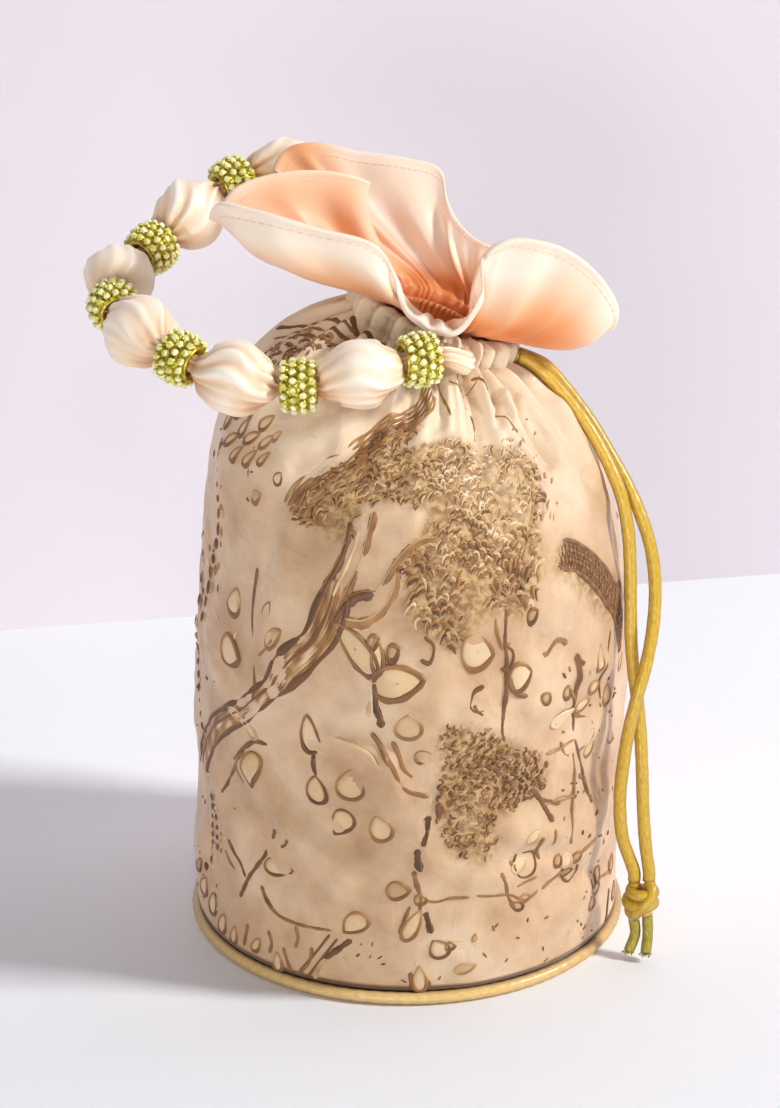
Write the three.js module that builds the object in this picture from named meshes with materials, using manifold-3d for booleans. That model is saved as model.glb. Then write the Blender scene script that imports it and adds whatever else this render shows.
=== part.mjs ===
// A potli: a round-bottomed drawstring pouch with a satin frill above its neck and a handle of
// satin-covered beads. Millimetres, +Z up, +Y away from the front, origin at the middle of the
// base where the pouch stands.
import * as THREE from "three";
import { mergeVertices } from "three/addons/utils/BufferGeometryUtils.js";
import Module from "manifold-3d";

const wasm = await Module();
wasm.setup();

// Driving dimensions
const clearance = 0.3; // between sewn layers and touching parts
const baseRadius = 67.7; // where the wall meets the base
const wallTopRadius = 67.4; // where the straight wall ends
const wallTopHeight = 100;
const wallTopShift = 1.2; // the wall leans this far right by its top
const shoulderRise = [62, 64]; // how far the shoulder keeps going up, at its left and right
const shoulderSpread = [40, 6]; // how far it reaches out from the neck, at its left and right
const shoulderSlope = [12, 36]; // degrees down from the neck's edge, at the sides and in front
const panelThickness = 1.5; // embroidered cloth with its backing
const liningThickness = 0.9;
const basePanelThickness = 1.6;
const boardThickness = 2.0;
const pipingRadius = 2.0; // half the thickness of the piping cord
const slackDepth = 1.7; // how far the soft wall waves in and out
const lobeShare = 0.5; // of that, lobes that wind slowly round the wall
const hollowShare = 0.6; // and hollows that cross its left and right sides

const neckCentre = new THREE.Vector3(7.5, 0, 196);
const neckLean = 20.5; // degrees that the neck leans to the right
const neckRadius = 25; // middle of the pleats, outside
const pleatDepth = 2.0;
const pleatCount = 24;
const collarLow = -4; // heights along the neck's own axis
const collarHigh = 2;
const channelFold = 5.5; // how far the collar turns in over the drawstring
const channelFoldRise = 1.5;
const liningDrop = 3; // the lining closes this much lower than the outer cloth
const liningSink = 5; // and its shoulder lies this much lower

const cordDiameter = 4;
const cordHeight = -0.8; // the drawstring's height in its channel
const slitWidth = 10.4; // opening where both strands leave
const slitHeight = 5.0;

const frillWidth = 50; // of the satin strip, from the neck to its free edge
const frillThickness = 1.2;
const frillCollarThickness = 1.5;
const frillCollarRise = 4.6; // where the frill leaves the neck
const frillLift = 2.8; // how far it goes straight up before it spreads
const frillBellyPull = 0.8;
const frillEdgePull = 0.38;
const throatRadius = 13.4; // free opening through the gathered neck

const beadPitch = 36.4; // along the handle, from one gold bead to the next
const goldBeadCount = 8;
const goldBeadLength = 11.4;
const goldBeadRadius = 7.4;
const goldBoreRadius = 3.25;
const sleevePinchRadius = 2.6; // satin sleeve gathered inside a gold bead
const paddedBeadRadius = 10.7;
const sleeveThickness = 0.6;
const coreRadius = 0.9; // strong cord through the whole handle
const ballBoreRadius = 1.4;
const tabRadius = 3.4;
const tabLength = 2.6;
const handleSide = 9; // the handle's sewn ends sit this far right of the neck's centre

const knotRadius = 6;
const knotHeight = 12.4;
const knotPlace = new THREE.Vector3(72.7, -37, 19.8);

// Mesh fineness
const bodySegments = 4 * pleatCount;
const frillSegments = 84;
const cordSides = 6;

// The neck's own frame: across to the right, back, and up along its axis
const lean = THREE.MathUtils.degToRad(neckLean);
const neckRight = new THREE.Vector3(Math.cos(lean), 0, -Math.sin(lean));
const neckBack = new THREE.Vector3(0, 1, 0);
const neckUp = new THREE.Vector3(Math.sin(lean), 0, Math.cos(lean));

const potli = new THREE.Group();
potli.name = "potli_bag";

const satinPeach = { color: 0xf3cdb2, roughness: 0.42, metalness: 0 };
const brocade = { color: 0xcfa483, roughness: 0.7, metalness: 0 };
const goldSatin = { color: 0xc9a227, roughness: 0.4, metalness: 0.1 };
const goldMetal = { color: 0xb9a13c, roughness: 0.3, metalness: 1 };
const greyBoard = { color: 0xb8ab98, roughness: 0.9, metalness: 0 };
const whiteCord = { color: 0xe9e2d6, roughness: 0.8, metalness: 0 };
const woodBall = { color: 0xd8b98c, roughness: 0.6, metalness: 0 };

function add(name, geometry, finish) {
  const mesh = new THREE.Mesh(geometry, new THREE.MeshStandardMaterial(finish));
  mesh.name = name;
  potli.add(mesh);
  return mesh;
}

// A point given by its angle, reach and height in the neck's frame
function atNeck(angle, reach, height) {
  return neckCentre
    .clone()
    .addScaledVector(neckRight, reach * Math.cos(angle))
    .addScaledVector(neckBack, reach * Math.sin(angle))
    .addScaledVector(neckUp, height);
}

// A closed solid skinned over a grid of points. Columns close round on themselves. Rows either
// close too, as on a ring, or end in a single point at each end.
function skin(columns, rows, pointAt, rowsClose) {
  const positions = [];
  const index = [];
  const first = rowsClose ? 0 : 1;
  const last = rowsClose ? rows : rows - 1;
  const ringCount = last - first;
  for (let row = first; row < last; row++) {
    for (let column = 0; column < columns; column++) {
      positions.push(...pointAt(column, row).toArray());
    }
  }
  const at = (column, ring) => (ring % ringCount) * columns + (column % columns);
  const quads = rowsClose ? ringCount : ringCount - 1;
  for (let ring = 0; ring < quads; ring++) {
    for (let column = 0; column < columns; column++) {
      const corners = [
        at(column, ring),
        at(column + 1, ring),
        at(column + 1, ring + 1),
        at(column, ring + 1),
      ];
      index.push(corners[0], corners[1], corners[2], corners[0], corners[2], corners[3]);
    }
  }
  if (!rowsClose) {
    const start = positions.length / 3;
    positions.push(...pointAt(0, 0).toArray(), ...pointAt(0, rows - 1).toArray());
    for (let column = 0; column < columns; column++) {
      index.push(start, at(column + 1, 0), at(column, 0));
      index.push(start + 1, at(column, ringCount - 1), at(column + 1, ringCount - 1));
    }
  }
  const geometry = new THREE.BufferGeometry();
  geometry.setAttribute("position", new THREE.Float32BufferAttribute(positions, 3));
  geometry.setIndex(index);
  return facingOut(geometry);
}

// Turns every face round if the solid is inside out
function facingOut(geometry) {
  const position = geometry.getAttribute("position");
  const index = geometry.index.array;
  const [a, b, c] = [new THREE.Vector3(), new THREE.Vector3(), new THREE.Vector3()];
  let volume = 0;
  for (let i = 0; i < index.length; i += 3) {
    a.fromBufferAttribute(position, index[i]);
    b.fromBufferAttribute(position, index[i + 1]);
    c.fromBufferAttribute(position, index[i + 2]);
    volume += a.dot(b.cross(c)) / 6;
  }
  if (volume < 0) {
    for (let i = 0; i < index.length; i += 3) {
      [index[i], index[i + 1]] = [index[i + 1], index[i]];
    }
  }
  geometry.computeVertexNormals();
  return geometry;
}

function toManifold(geometry) {
  const bare = geometry.clone();
  bare.deleteAttribute("normal");
  bare.deleteAttribute("uv");
  const merged = mergeVertices(bare, 1e-4);
  return new wasm.Manifold(
    new wasm.Mesh({
      numProp: 3,
      vertProperties: new Float32Array(merged.getAttribute("position").array),
      triVerts: new Uint32Array(merged.index.array),
    }),
  );
}

function fromManifold(solid) {
  const mesh = solid.getMesh();
  const geometry = new THREE.BufferGeometry();
  geometry.setAttribute("position", new THREE.BufferAttribute(mesh.vertProperties, 3));
  geometry.setIndex(new THREE.BufferAttribute(mesh.triVerts, 1));
  geometry.computeVertexNormals();
  return geometry;
}

// A tube of round section along a curve, closed at both ends
function tube(points, radius, sides, steps) {
  const section = new THREE.Shape();
  for (let side = 0; side < sides; side++) {
    const turn = (side / sides) * 2 * Math.PI;
    const [x, y] = [radius * Math.cos(turn), radius * Math.sin(turn)];
    side === 0 ? section.moveTo(x, y) : section.lineTo(x, y);
  }
  section.closePath();
  const path = new THREE.CatmullRomCurve3(points, false, "centripetal");
  return new THREE.ExtrudeGeometry(section, { steps, extrudePath: path, bevelEnabled: false });
}

// Base: piping round the edge, cloth disc underneath and a stiff board above it
const piping = add("base_piping", new THREE.TorusGeometry(baseRadius, pipingRadius, 8, 48), goldSatin);
piping.position.z = pipingRadius;

function disc(radius, low, high, edge) {
  const outline = [
    new THREE.Vector2(0, low),
    new THREE.Vector2(radius - edge, low),
    new THREE.Vector2(radius, low + edge),
    new THREE.Vector2(radius, high),
    new THREE.Vector2(0, high),
  ];
  return new THREE.LatheGeometry(outline, 64).rotateX(Math.PI / 2);
}

const basePanelRadius = baseRadius - pipingRadius - clearance;
add("base_panel", disc(basePanelRadius, 0, basePanelThickness, 0.4), brocade);
const boardLow = basePanelThickness + clearance;
const boardHigh = boardLow + boardThickness;
add("base_board", disc(baseRadius - 2 * pipingRadius, boardLow, boardHigh, 0.2), greyBoard);

// The pouch wall rises straight, rounds over its shoulder and closes to the leaning neck. The
// left shoulder is fuller than the right one because the neck leans.
function shoulderEnd(angle, fit) {
  return atNeck(angle, fit.neckRadius, fit.neckLow);
}

function wallPoint(angle, s, fit) {
  const out = new THREE.Vector3(Math.cos(angle), Math.sin(angle), 0);
  const foot = out.clone().multiplyScalar(fit.footRadius).setZ(fit.foot);
  const top = out.clone().multiplyScalar(fit.wallRadius).setZ(wallTopHeight);
  top.x += wallTopShift;
  if (s <= 1) return foot.lerp(top, s);
  const end = shoulderEnd(angle, fit);
  if (s <= 2) {
    const t = s - 1;
    const side = (1 + Math.cos(angle)) / 2;
    const rise = THREE.MathUtils.lerp(...shoulderRise, side) - fit.sink;
    const spread = THREE.MathUtils.lerp(...shoulderSpread, side);
    const slope = THREE.MathUtils.degToRad(
      THREE.MathUtils.lerp(...shoulderSlope, Math.sin(angle) ** 2),
    );
    const low = top.clone().setZ(wallTopHeight + rise);
    const high = end.clone().addScaledVector(out, spread * Math.cos(slope));
    high.z -= spread * Math.sin(slope) + fit.sink;
    return new THREE.CubicBezierCurve3(top, low, high, end).getPoint(t);
  }
  end.addScaledVector(neckUp, (Math.min(s, 3) - 2) * (fit.neckHigh - fit.neckLow));
  if (s <= 3) return end;
  const turn = ((s - 3) * Math.PI) / 2;
  const inward = atNeck(angle, 1, 0).sub(neckCentre);
  end.addScaledVector(inward, -channelFold * (1 - Math.cos(turn)));
  return end.addScaledVector(neckUp, channelFoldRise * Math.sin(turn));
}

// Outward direction of the smooth wall, from its two tangents
function wallNormal(angle, s, fit) {
  const step = 0.02;
  const round = wallPoint(angle + step, s, fit).sub(wallPoint(angle - step, s, fit));
  const above = Math.min(s + step, fit.lastRow);
  const below = Math.max(s - step, 0);
  const up = wallPoint(angle, above, fit).sub(wallPoint(angle, below, fit));
  return round.cross(up).normalize();
}

// Soft waves in the wall, which die out at the base and at the neck
function slack(angle, s) {
  const share = Math.min(s / 2, 1);
  const fade = Math.sin(Math.PI * share) ** 0.7;
  const lobes = lobeShare * Math.sin(3 * angle + 4 * share - 1.5);
  const hollows = hollowShare * Math.cos(2 * angle) * Math.cos(13 * share - 4.4);
  return slackDepth * fade * (lobes + hollows);
}

// Gathers, deepest at the neck and gone by the middle of the shoulder
function pleat(angle, s) {
  const grown = THREE.MathUtils.smoothstep(s, 1.35, 2);
  const flattened = THREE.MathUtils.smoothstep(s, 2.9, 4);
  return pleatDepth * grown * (1 - 0.85 * flattened) * Math.cos(pleatCount * angle);
}

// Where the wall's rows lie: 0 to 1 up the straight part, to 2 over the shoulder, to 3 up the
// neck and to 4 where the outer cloth turns in over the drawstring
const wallRows = [0, 0.35, 0.7, 1, 1.18, 1.36, 1.54, 1.72, 1.88, 2, 3];

function sewnShell(fit, rows, segments, thickness, pleated) {
  const count = rows.length;
  const pointAt = (column, row) => {
    const angle = (column / segments) * 2 * Math.PI;
    const inside = row >= count;
    const s = rows[inside ? 2 * count - 1 - row : row];
    const offset = slack(angle, s) + (pleated ? pleat(angle, s) : 0) - (inside ? thickness : 0);
    return wallPoint(angle, s, fit).addScaledVector(wallNormal(angle, s, fit), offset);
  };
  return { pointAt, rowCount: 2 * count };
}

const panelFit = {
  foot: 2 * pipingRadius + clearance,
  footRadius: baseRadius,
  wallRadius: wallTopRadius,
  neckRadius,
  neckLow: collarLow,
  neckHigh: collarHigh,
  lastRow: 4,
  sink: 0,
};
const panelRows = [...wallRows, 3.5, 4];
const panelGrid = sewnShell(panelFit, panelRows, bodySegments, panelThickness, true);
const panelShell = skin(bodySegments, panelGrid.rowCount, panelGrid.pointAt, true);

// The slit in the channel where both strands of the drawstring leave
const slit = new THREE.BoxGeometry(4 * pleatDepth + 2 * panelThickness, slitWidth, slitHeight);
slit.rotateY(lean);
const slitPlace = atNeck(0, neckRadius, cordHeight);
slit.translate(slitPlace.x, slitPlace.y, slitPlace.z);
add("outer_panel", fromManifold(toManifold(panelShell).subtract(toManifold(slit))), brocade);

// The satin lining is a bag of its own inside the outer one, with a flat bottom on the board
const liningOuterNeck = throatRadius + liningThickness;
const liningFit = {
  foot: boardHigh + clearance,
  footRadius: baseRadius - panelThickness - 4 * clearance,
  wallRadius: wallTopRadius - panelThickness - 4 * clearance,
  neckRadius: liningOuterNeck,
  neckLow: collarLow - liningDrop,
  neckHigh: collarHigh,
  lastRow: 3,
  sink: liningSink,
};
const liningSegments = bodySegments / 2;
const liningGrid = sewnShell(liningFit, wallRows, liningSegments, liningThickness, false);
function liningPoint(column, row) {
  const lastRow = liningGrid.rowCount + 1;
  if (row === 0) return new THREE.Vector3(0, 0, liningFit.foot);
  if (row === lastRow) return new THREE.Vector3(0, 0, liningFit.foot + liningThickness);
  const point = liningGrid.pointAt(column, row - 1);
  if (row === lastRow - 1) point.z = liningFit.foot + liningThickness;
  return point;
}
add("lining", skin(liningSegments, liningGrid.rowCount + 2, liningPoint, false), satinPeach);

// The drawstring's turn round the neck, inside its channel, with both ends out at the slit
const channelRadius = neckRadius - pleatDepth - panelThickness - cordDiameter / 2 - 2 * clearance;
const strandSpacing = cordDiameter / 2 + clearance;
const strandStart = neckRadius + pleatDepth + 1;
function channelPoints() {
  const lead = [
    [strandStart - clearance, strandSpacing],
    [strandStart - 2.5, strandSpacing],
    [channelRadius + 3.9, strandSpacing + 0.1],
    [channelRadius + 1.5, strandSpacing + 0.9],
    [channelRadius - 0.5, 2.3 * strandSpacing],
  ];
  const half = lead.map(([right, back]) => [Math.atan2(back, right), Math.hypot(right, back)]);
  const points = half.map(([angle, reach]) => atNeck(angle, reach, cordHeight));
  for (let degrees = 28; degrees <= 332; degrees += 16) {
    points.push(atNeck(THREE.MathUtils.degToRad(degrees), channelRadius, cordHeight));
  }
  const mirrored = half.map(([angle, reach]) => atNeck(-angle, reach, cordHeight));
  return points.concat(mirrored.reverse());
}
add("neck_drawstring", tube(channelPoints(), cordDiameter / 2, cordSides, 52), goldSatin);

// The frill is a gathered strip of satin. Its free edge is given by points round the neck:
// angle in degrees, reach and rise from the neck's centre in widths of the strip, the angle at
// which the cloth ends there, and how far it bellies out on its way.
const frillEdge = [
  [262, 0.58, 0.104, -10, 0.6],
  [275, 0.58, 0.12, 0, 0.6],
  [283, 0.556, 0.21, 60, 0.5],
  [286, 0.542, 0.4, 85, 0.5],
  [279, 0.532, 0.62, 85, 0.5],
  [288, 0.528, 0.75, 70, 0.5],
  [313, 0.62, 0.81, 80, 0.6],
  [333, 0.8, 0.74, 85, 0.75],
  [350, 0.99, 0.52, 85, 0.8],
  [2, 1.03, 0.33, 40, 0.6],
  [14, 0.96, 0.41, 55, 0.5],
  [29, 0.77, 0.53, 75, 0.4],
  [50, 0.56, 0.49, 85, 0.3],
  [70, 0.46, 0.46, 85, 0.2],
  [90, 0.5, 0.5, 75, 0.2],
  [101, 0.62, 0.59, 65, 0.2],
  [108, 0.74, 0.74, 60, 0.3],
  [121, 0.86, 0.72, 55, 0.3],
  [135, 1.04, 0.66, 45, 0.3],
  [146, 1.23, 0.62, 40, 0.3],
  [151, 1.33, 0.53, 25, 0.3],
  [156, 1.3, 0.4, 20, 0.3],
  [158, 1.02, 0.5, 50, 0.2],
  [154, 0.71, 0.6, 80, 0.1],
  [166, 0.85, 0.62, 75, 0.2],
  [174, 1.15, 0.53, 55, 0.3],
  [180, 1.39, 0.37, 30, 0.3],
  [184, 1.48, 0.17, 10, 0.4],
  [190, 1.49, 0.31, 60, 0.6],
  [197, 1.28, 0.38, 85, 0.75],
  [207, 0.97, 0.42, 95, 0.8],
  [220, 0.69, 0.44, 95, 0.7],
  [231, 0.55, 0.29, 80, 0.6],
  [246, 0.56, 0.144, 20, 0.6],
];

const edgePlaces = frillEdge.map(([angle, reach, rise]) =>
  atNeck(THREE.MathUtils.degToRad(angle), frillWidth * reach, frillWidth * rise),
);
const edgeCurve = new THREE.CatmullRomCurve3(edgePlaces, true, "centripetal");

// One of the edge's columns, blended smoothly between its points
function edgeValue(share, column) {
  const place = share * frillEdge.length;
  const before = Math.floor(place) % frillEdge.length;
  const after = (before + 1) % frillEdge.length;
  const blend = THREE.MathUtils.smoothstep(place - Math.floor(place), 0, 1);
  return THREE.MathUtils.lerp(frillEdge[before][column], frillEdge[after][column], blend);
}

const collarRadius = throatRadius + liningThickness + 2.2 * clearance + frillCollarThickness / 2;
const edgeStart = THREE.MathUtils.degToRad(frillEdge[0][0]);
const edgeSteps = 800;
const edgeLengths = edgeCurve.getLengths(edgeSteps);
const collarShare = 0.14; // share of the rows that stays inside the neck

function edgeAngle(share) {
  const place = share * edgeSteps;
  const whole = Math.floor(place);
  const next = edgeLengths[Math.min(whole + 1, edgeSteps)];
  const length = THREE.MathUtils.lerp(edgeLengths[whole], next, place - whole);
  return edgeStart + (length / edgeLengths[edgeSteps]) * 2 * Math.PI;
}

function frillPoint(share, up) {
  const angle = edgeAngle(share);
  const foot = atNeck(angle, collarRadius, collarLow);
  const top = atNeck(angle, collarRadius, frillCollarRise);
  if (up <= collarShare) return foot.lerp(top, up / collarShare);
  const edge = edgeCurve.getPoint(share);
  const span = edge.distanceTo(top);
  const out = edge.clone().sub(neckCentre);
  out.addScaledVector(neckUp, -out.dot(neckUp)).normalize();
  const tilt = THREE.MathUtils.degToRad(edgeValue(share, 3));
  const belly = edgeValue(share, 4);
  const round = atNeck(angle, 1, 0).sub(neckCentre);
  const leave = top.clone().addScaledVector(neckUp, frillLift);
  leave.addScaledVector(round, span * belly * frillBellyPull);
  const arrive = out.multiplyScalar(Math.cos(tilt)).addScaledVector(neckUp, Math.sin(tilt));
  const reachBack = edge.clone().addScaledVector(arrive, -span * frillEdgePull);
  const t = (up - collarShare) / (1 - collarShare);
  return new THREE.CubicBezierCurve3(top, leave, reachBack, edge).getPoint(t);
}

function frillNormal(share, up) {
  const step = 0.004;
  const round = frillPoint((share + step) % 1, up).sub(frillPoint((share + 1 - step) % 1, up));
  const rise = frillPoint(share, Math.min(up + step, 1)).sub(frillPoint(share, Math.max(up - step, 0)));
  return round.cross(rise).normalize();
}

const frillRows = [0, collarShare, 0.2, 0.3, 0.45, 0.62, 0.8, 1];
function frillSolidPoint(column, row) {
  const share = column / frillSegments;
  const inside = row >= frillRows.length;
  const up = frillRows[inside ? 2 * frillRows.length - 1 - row : row];
  const thickness = up <= collarShare ? frillCollarThickness : frillThickness;
  const offset = (inside ? -thickness : thickness) / 2;
  return frillPoint(share, up).addScaledVector(frillNormal(share, up), offset);
}
add("ruffle", skin(frillSegments, 2 * frillRows.length, frillSolidPoint, true), satinPeach);

// The handle's line, from its sewn end at the front of the neck round to the one at the back.
// Its points are counted in bead pitches from the middle of the hinge.
const neckOutside = neckRadius + pleatDepth;
const hingePlace = neckCentre.clone().addScaledVector(neckRight, handleSide);
const tabStart = Math.sqrt(neckOutside ** 2 - (handleSide - tabRadius) ** 2) + 2 * clearance;
const handleStart = tabStart + tabLength + clearance;
const handleRoute = [
  [-0.053, -1.003, 0.054],
  [-0.311, -1.099, 0.109],
  [-0.781, -1.258, 0.048],
  [-1.289, -1.319, -0.045],
  [-1.811, -1.264, 0.004],
  [-2.32, -1.044, 0.125],
  [-2.649, -0.687, 0.238],
  [-2.872, -0.206, 0.334],
  [-2.8, 0.275, 0.449],
  [-2.512, 0.659, 0.609],
  [-2.196, 0.975, 0.828],
  [-1.839, 1.236, 1.007],
  [-1.399, 1.415, 1.007],
  [-0.946, 1.47, 0.815],
  [-0.52, 1.346, 0.526],
  [-0.204, 1.099, 0.238],
];
const handleLine = [
  new THREE.Vector3(hingePlace.x, -handleStart, hingePlace.z),
  ...handleRoute.map((step) => new THREE.Vector3(...step).multiplyScalar(beadPitch).add(hingePlace)),
  new THREE.Vector3(hingePlace.x, handleStart, hingePlace.z),
];
const handleCurve = new THREE.CatmullRomCurve3(handleLine, false, "centripetal");
handleCurve.arcLengthDivisions = edgeSteps;
const handleLength = handleCurve.getLength();
const firstBead = (handleLength - (goldBeadCount - 1) * beadPitch) / 2;
const pinchHalf = goldBeadLength / 2 + 2 * clearance;
const ballRadius = paddedBeadRadius - sleeveThickness - 4.5 * clearance;
const ballHalf = 0.9 * ballRadius;

// The handle runs straight through each bead and ball and bends in the short parts between
const links = [];
function addLink(length, half, heading) {
  const share = length / handleLength;
  const place = handleCurve.getPointAt(share);
  links.push({ length, half, place, heading: heading ?? handleCurve.getTangentAt(share) });
}
addLink(0, 1, new THREE.Vector3(0, -1, 0));
for (let half = 0; half <= 2 * (goldBeadCount - 1); half++) {
  addLink(firstBead + (half * beadPitch) / 2, half % 2 === 0 ? pinchHalf : ballHalf);
}
addLink(handleLength, 1, new THREE.Vector3(0, -1, 0));

function alongHandle(length) {
  for (const { length: middle, half, place, heading } of links) {
    if (Math.abs(length - middle) <= half) {
      return { place: place.clone().addScaledVector(heading, length - middle), heading };
    }
  }
  const after = links.findIndex((link) => link.length > length);
  const [from, to] = [links[after - 1], links[after]];
  const start = from.place.clone().addScaledVector(from.heading, from.half);
  const end = to.place.clone().addScaledVector(to.heading, -to.half);
  const pull = start.distanceTo(end) / 3;
  const bend = new THREE.CubicBezierCurve3(
    start,
    start.clone().addScaledVector(from.heading, pull),
    end.clone().addScaledVector(to.heading, -pull),
    end,
  );
  const free = to.length - to.half - (from.length + from.half);
  const share = (length - from.length - from.half) / free;
  return { place: bend.getPoint(share), heading: bend.getTangent(share) };
}

// A frame across the handle whose first direction stays level
function acrossHandle(heading) {
  const side = new THREE.Vector3().crossVectors(heading, new THREE.Vector3(0, 0, 1)).normalize();
  return { side, up: new THREE.Vector3().crossVectors(side, heading) };
}

// Outer radius of the satin sleeve: pinched inside each gold bead, swollen over each ball
function sleeveRadius(length) {
  const place = (length - firstBead) / beadPitch;
  const gap = Math.floor(place);
  if (gap < 0 || gap >= goldBeadCount - 1) {
    const toEnd = Math.min(length, handleLength - length) / (firstBead - pinchHalf);
    return THREE.MathUtils.lerp(tabRadius, sleevePinchRadius, Math.min(toEnd, 1) ** 2);
  }
  const local = (place - gap) * beadPitch;
  const share = (local - pinchHalf) / (beadPitch - 2 * pinchHalf);
  if (share <= 0 || share >= 1) return sleevePinchRadius;
  const swell = Math.sin(Math.PI * share) ** 0.72;
  return sleevePinchRadius + (paddedBeadRadius - sleevePinchRadius) * swell;
}

function sleeveStations() {
  const stations = [0, 1, firstBead * 0.35];
  for (let bead = 0; bead < goldBeadCount; bead++) {
    const centre = firstBead + bead * beadPitch;
    stations.push(centre - pinchHalf, centre + pinchHalf);
    if (bead === goldBeadCount - 1) continue;
    const span = beadPitch - 2 * pinchHalf;
    for (const share of [0.09, 0.28, 0.5, 0.72, 0.91]) {
      stations.push(centre + pinchHalf + share * span);
    }
  }
  stations.push(handleLength - firstBead * 0.35, handleLength - 1, handleLength);
  return stations;
}

const stations = sleeveStations();
const sleeveSides = 10;
function sleevePoint(column, row) {
  const inside = row >= stations.length;
  const length = stations[inside ? 2 * stations.length - 1 - row : row];
  const { place, heading } = alongHandle(length);
  const { side, up } = acrossHandle(heading);
  const radius = sleeveRadius(length) - (inside ? sleeveThickness : 0);
  const turn = (column / sleeveSides) * 2 * Math.PI;
  return place
    .addScaledVector(side, radius * Math.cos(turn))
    .addScaledVector(up, radius * Math.sin(turn));
}
add("handle_sleeve", skin(sleeveSides, 2 * stations.length, sleevePoint, true), satinPeach);

// The strong cord inside the sleeve carries the balls
const coreStations = [0.6, 1, firstBead * 0.35];
for (const { length, half } of links.slice(1, -1)) coreStations.push(length - half, length + half);
coreStations.push(handleLength - firstBead * 0.35, handleLength - 1, handleLength - 0.6);
const coreSides = 6;
function corePoint(column, row) {
  const atEnd = row === 0 || row === coreStations.length + 1;
  const step = THREE.MathUtils.clamp(row - 1, 0, coreStations.length - 1);
  const { place, heading } = alongHandle(coreStations[step]);
  if (atEnd) return place;
  const { side, up } = acrossHandle(heading);
  const turn = (column / coreSides) * 2 * Math.PI;
  return place
    .clone()
    .addScaledVector(side, coreRadius * Math.cos(turn))
    .addScaledVector(up, coreRadius * Math.sin(turn));
}
add("handle_core", skin(coreSides, coreStations.length + 2, corePoint, false), whiteCord);

// Turns a piece made round Z so that it lies along the handle at that length
function seat(geometry, length) {
  const { place, heading } = alongHandle(length);
  const turn = new THREE.Quaternion().setFromUnitVectors(new THREE.Vector3(0, 0, 1), heading);
  return geometry.applyQuaternion(turn).translate(place.x, place.y, place.z);
}

function ballOutline() {
  const outline = [];
  for (let step = 0; step <= 6; step++) {
    const turn = THREE.MathUtils.lerp(-1.36, 1.36, step / 6);
    outline.push(new THREE.Vector2(ballRadius * Math.cos(turn), ballHalf * Math.sin(turn)));
  }
  outline.push(new THREE.Vector2(ballBoreRadius, outline[6].y));
  outline.push(new THREE.Vector2(ballBoreRadius, outline[0].y));
  outline.push(outline[0].clone());
  return outline;
}

for (let bead = 0; bead < goldBeadCount - 1; bead++) {
  const ball = new THREE.LatheGeometry(ballOutline(), 10).rotateX(Math.PI / 2);
  const middle = firstBead + (bead + 0.5) * beadPitch;
  add(`padding_ball_${bead + 1}`, seat(ball, middle), woodBall);
}

// Each gold bead is a bored barrel that turns on the pinched sleeve
function goldOutline() {
  const half = goldBeadLength / 2;
  const outline = [new THREE.Vector2(goldBoreRadius, -half)];
  for (let step = 0; step <= 4; step++) {
    const turn = THREE.MathUtils.lerp(-1.05, 1.05, step / 4);
    const reach = goldBeadRadius * Math.cos(turn) ** 0.8;
    outline.push(new THREE.Vector2(reach, (half * Math.sin(turn)) / Math.sin(1.05)));
  }
  outline.push(new THREE.Vector2(goldBoreRadius, half), outline[0].clone());
  return outline;
}

for (let bead = 0; bead < goldBeadCount; bead++) {
  const gold = new THREE.LatheGeometry(goldOutline(), 12).rotateX(Math.PI / 2);
  add(`gold_bead_${bead + 1}`, seat(gold, firstBead + bead * beadPitch), goldMetal);
}

// The sewn satin tabs that carry the handle's two ends
for (const [name, way] of [
  ["handle_tab_front", -1],
  ["handle_tab_back", 1],
]) {
  const tab = add(name, new THREE.CylinderGeometry(tabRadius, tabRadius, tabLength, 14), satinPeach);
  tab.position.set(hingePlace.x, way * (tabStart + tabLength / 2), hingePlace.z);
}

// The two free strands of the drawstring, which cross once on their way down to the knot that
// ties them together
function slitMouth(way, right) {
  return neckCentre
    .clone()
    .addScaledVector(neckRight, right)
    .addScaledVector(neckBack, way * strandSpacing)
    .addScaledVector(neckUp, cordHeight)
    .toArray();
}
const strandStraight = 2.5; // how far the strands go on straight past the slit and above the knot
function knotEntry(way, height) {
  const top = knotPlace.z + knotHeight / 2 + clearance;
  return [knotPlace.x + way * strandSpacing, knotPlace.y, top + height];
}
const outerStrand = [
  slitMouth(1, strandStart),
  slitMouth(1, strandStart + strandStraight),
  [41.3, 1, 182.3],
  [49, -1.9, 174.3],
  [56, -5.4, 165.3],
  [62.1, -9, 155.7],
  [67.2, -12.5, 147.1],
  [70.8, -15.5, 139.2],
  [73.6, -18.5, 130.9],
  [75, -21.5, 122.2],
  [75.1, -24.5, 113.6],
  [74.2, -27.8, 105.1],
  [72.4, -31, 96.5],
  [69.8, -33.6, 87],
  [67.5, -35, 76.6],
  [66, -35.6, 65.1],
  [65.3, -36, 53.4],
  [66.4, -36.6, 41],
  knotEntry(-1, strandStraight),
  knotEntry(-1, 0),
];
const innerStrand = [
  slitMouth(-1, strandStart),
  slitMouth(-1, strandStart + strandStraight),
  [40.5, -3.7, 181.4],
  [48.2, -6.9, 173.7],
  [55.3, -10.8, 164.7],
  [60.9, -14.4, 155],
  [64.6, -17.6, 146],
  [66.6, -20.2, 136.2],
  [67.4, -22.2, 125.7],
  [67.7, -24, 115.1],
  [68.1, -26, 102.7],
  [69, -27.4, 93.2],
  [70.4, -28.6, 83.8],
  [71.5, -30.6, 72.9],
  [72.2, -33, 60.5],
  [72.8, -35, 47.8],
  [73.8, -36.4, 37],
  knotEntry(1, strandStraight),
  knotEntry(1, 0),
];
for (const [name, line] of [
  ["drawstring_strand_outer", outerStrand],
  ["drawstring_strand_inner", innerStrand],
]) {
  const points = line.map((place) => new THREE.Vector3(...place));
  add(name, tube(points, cordDiameter / 2, cordSides, 38), goldSatin);
}

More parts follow.
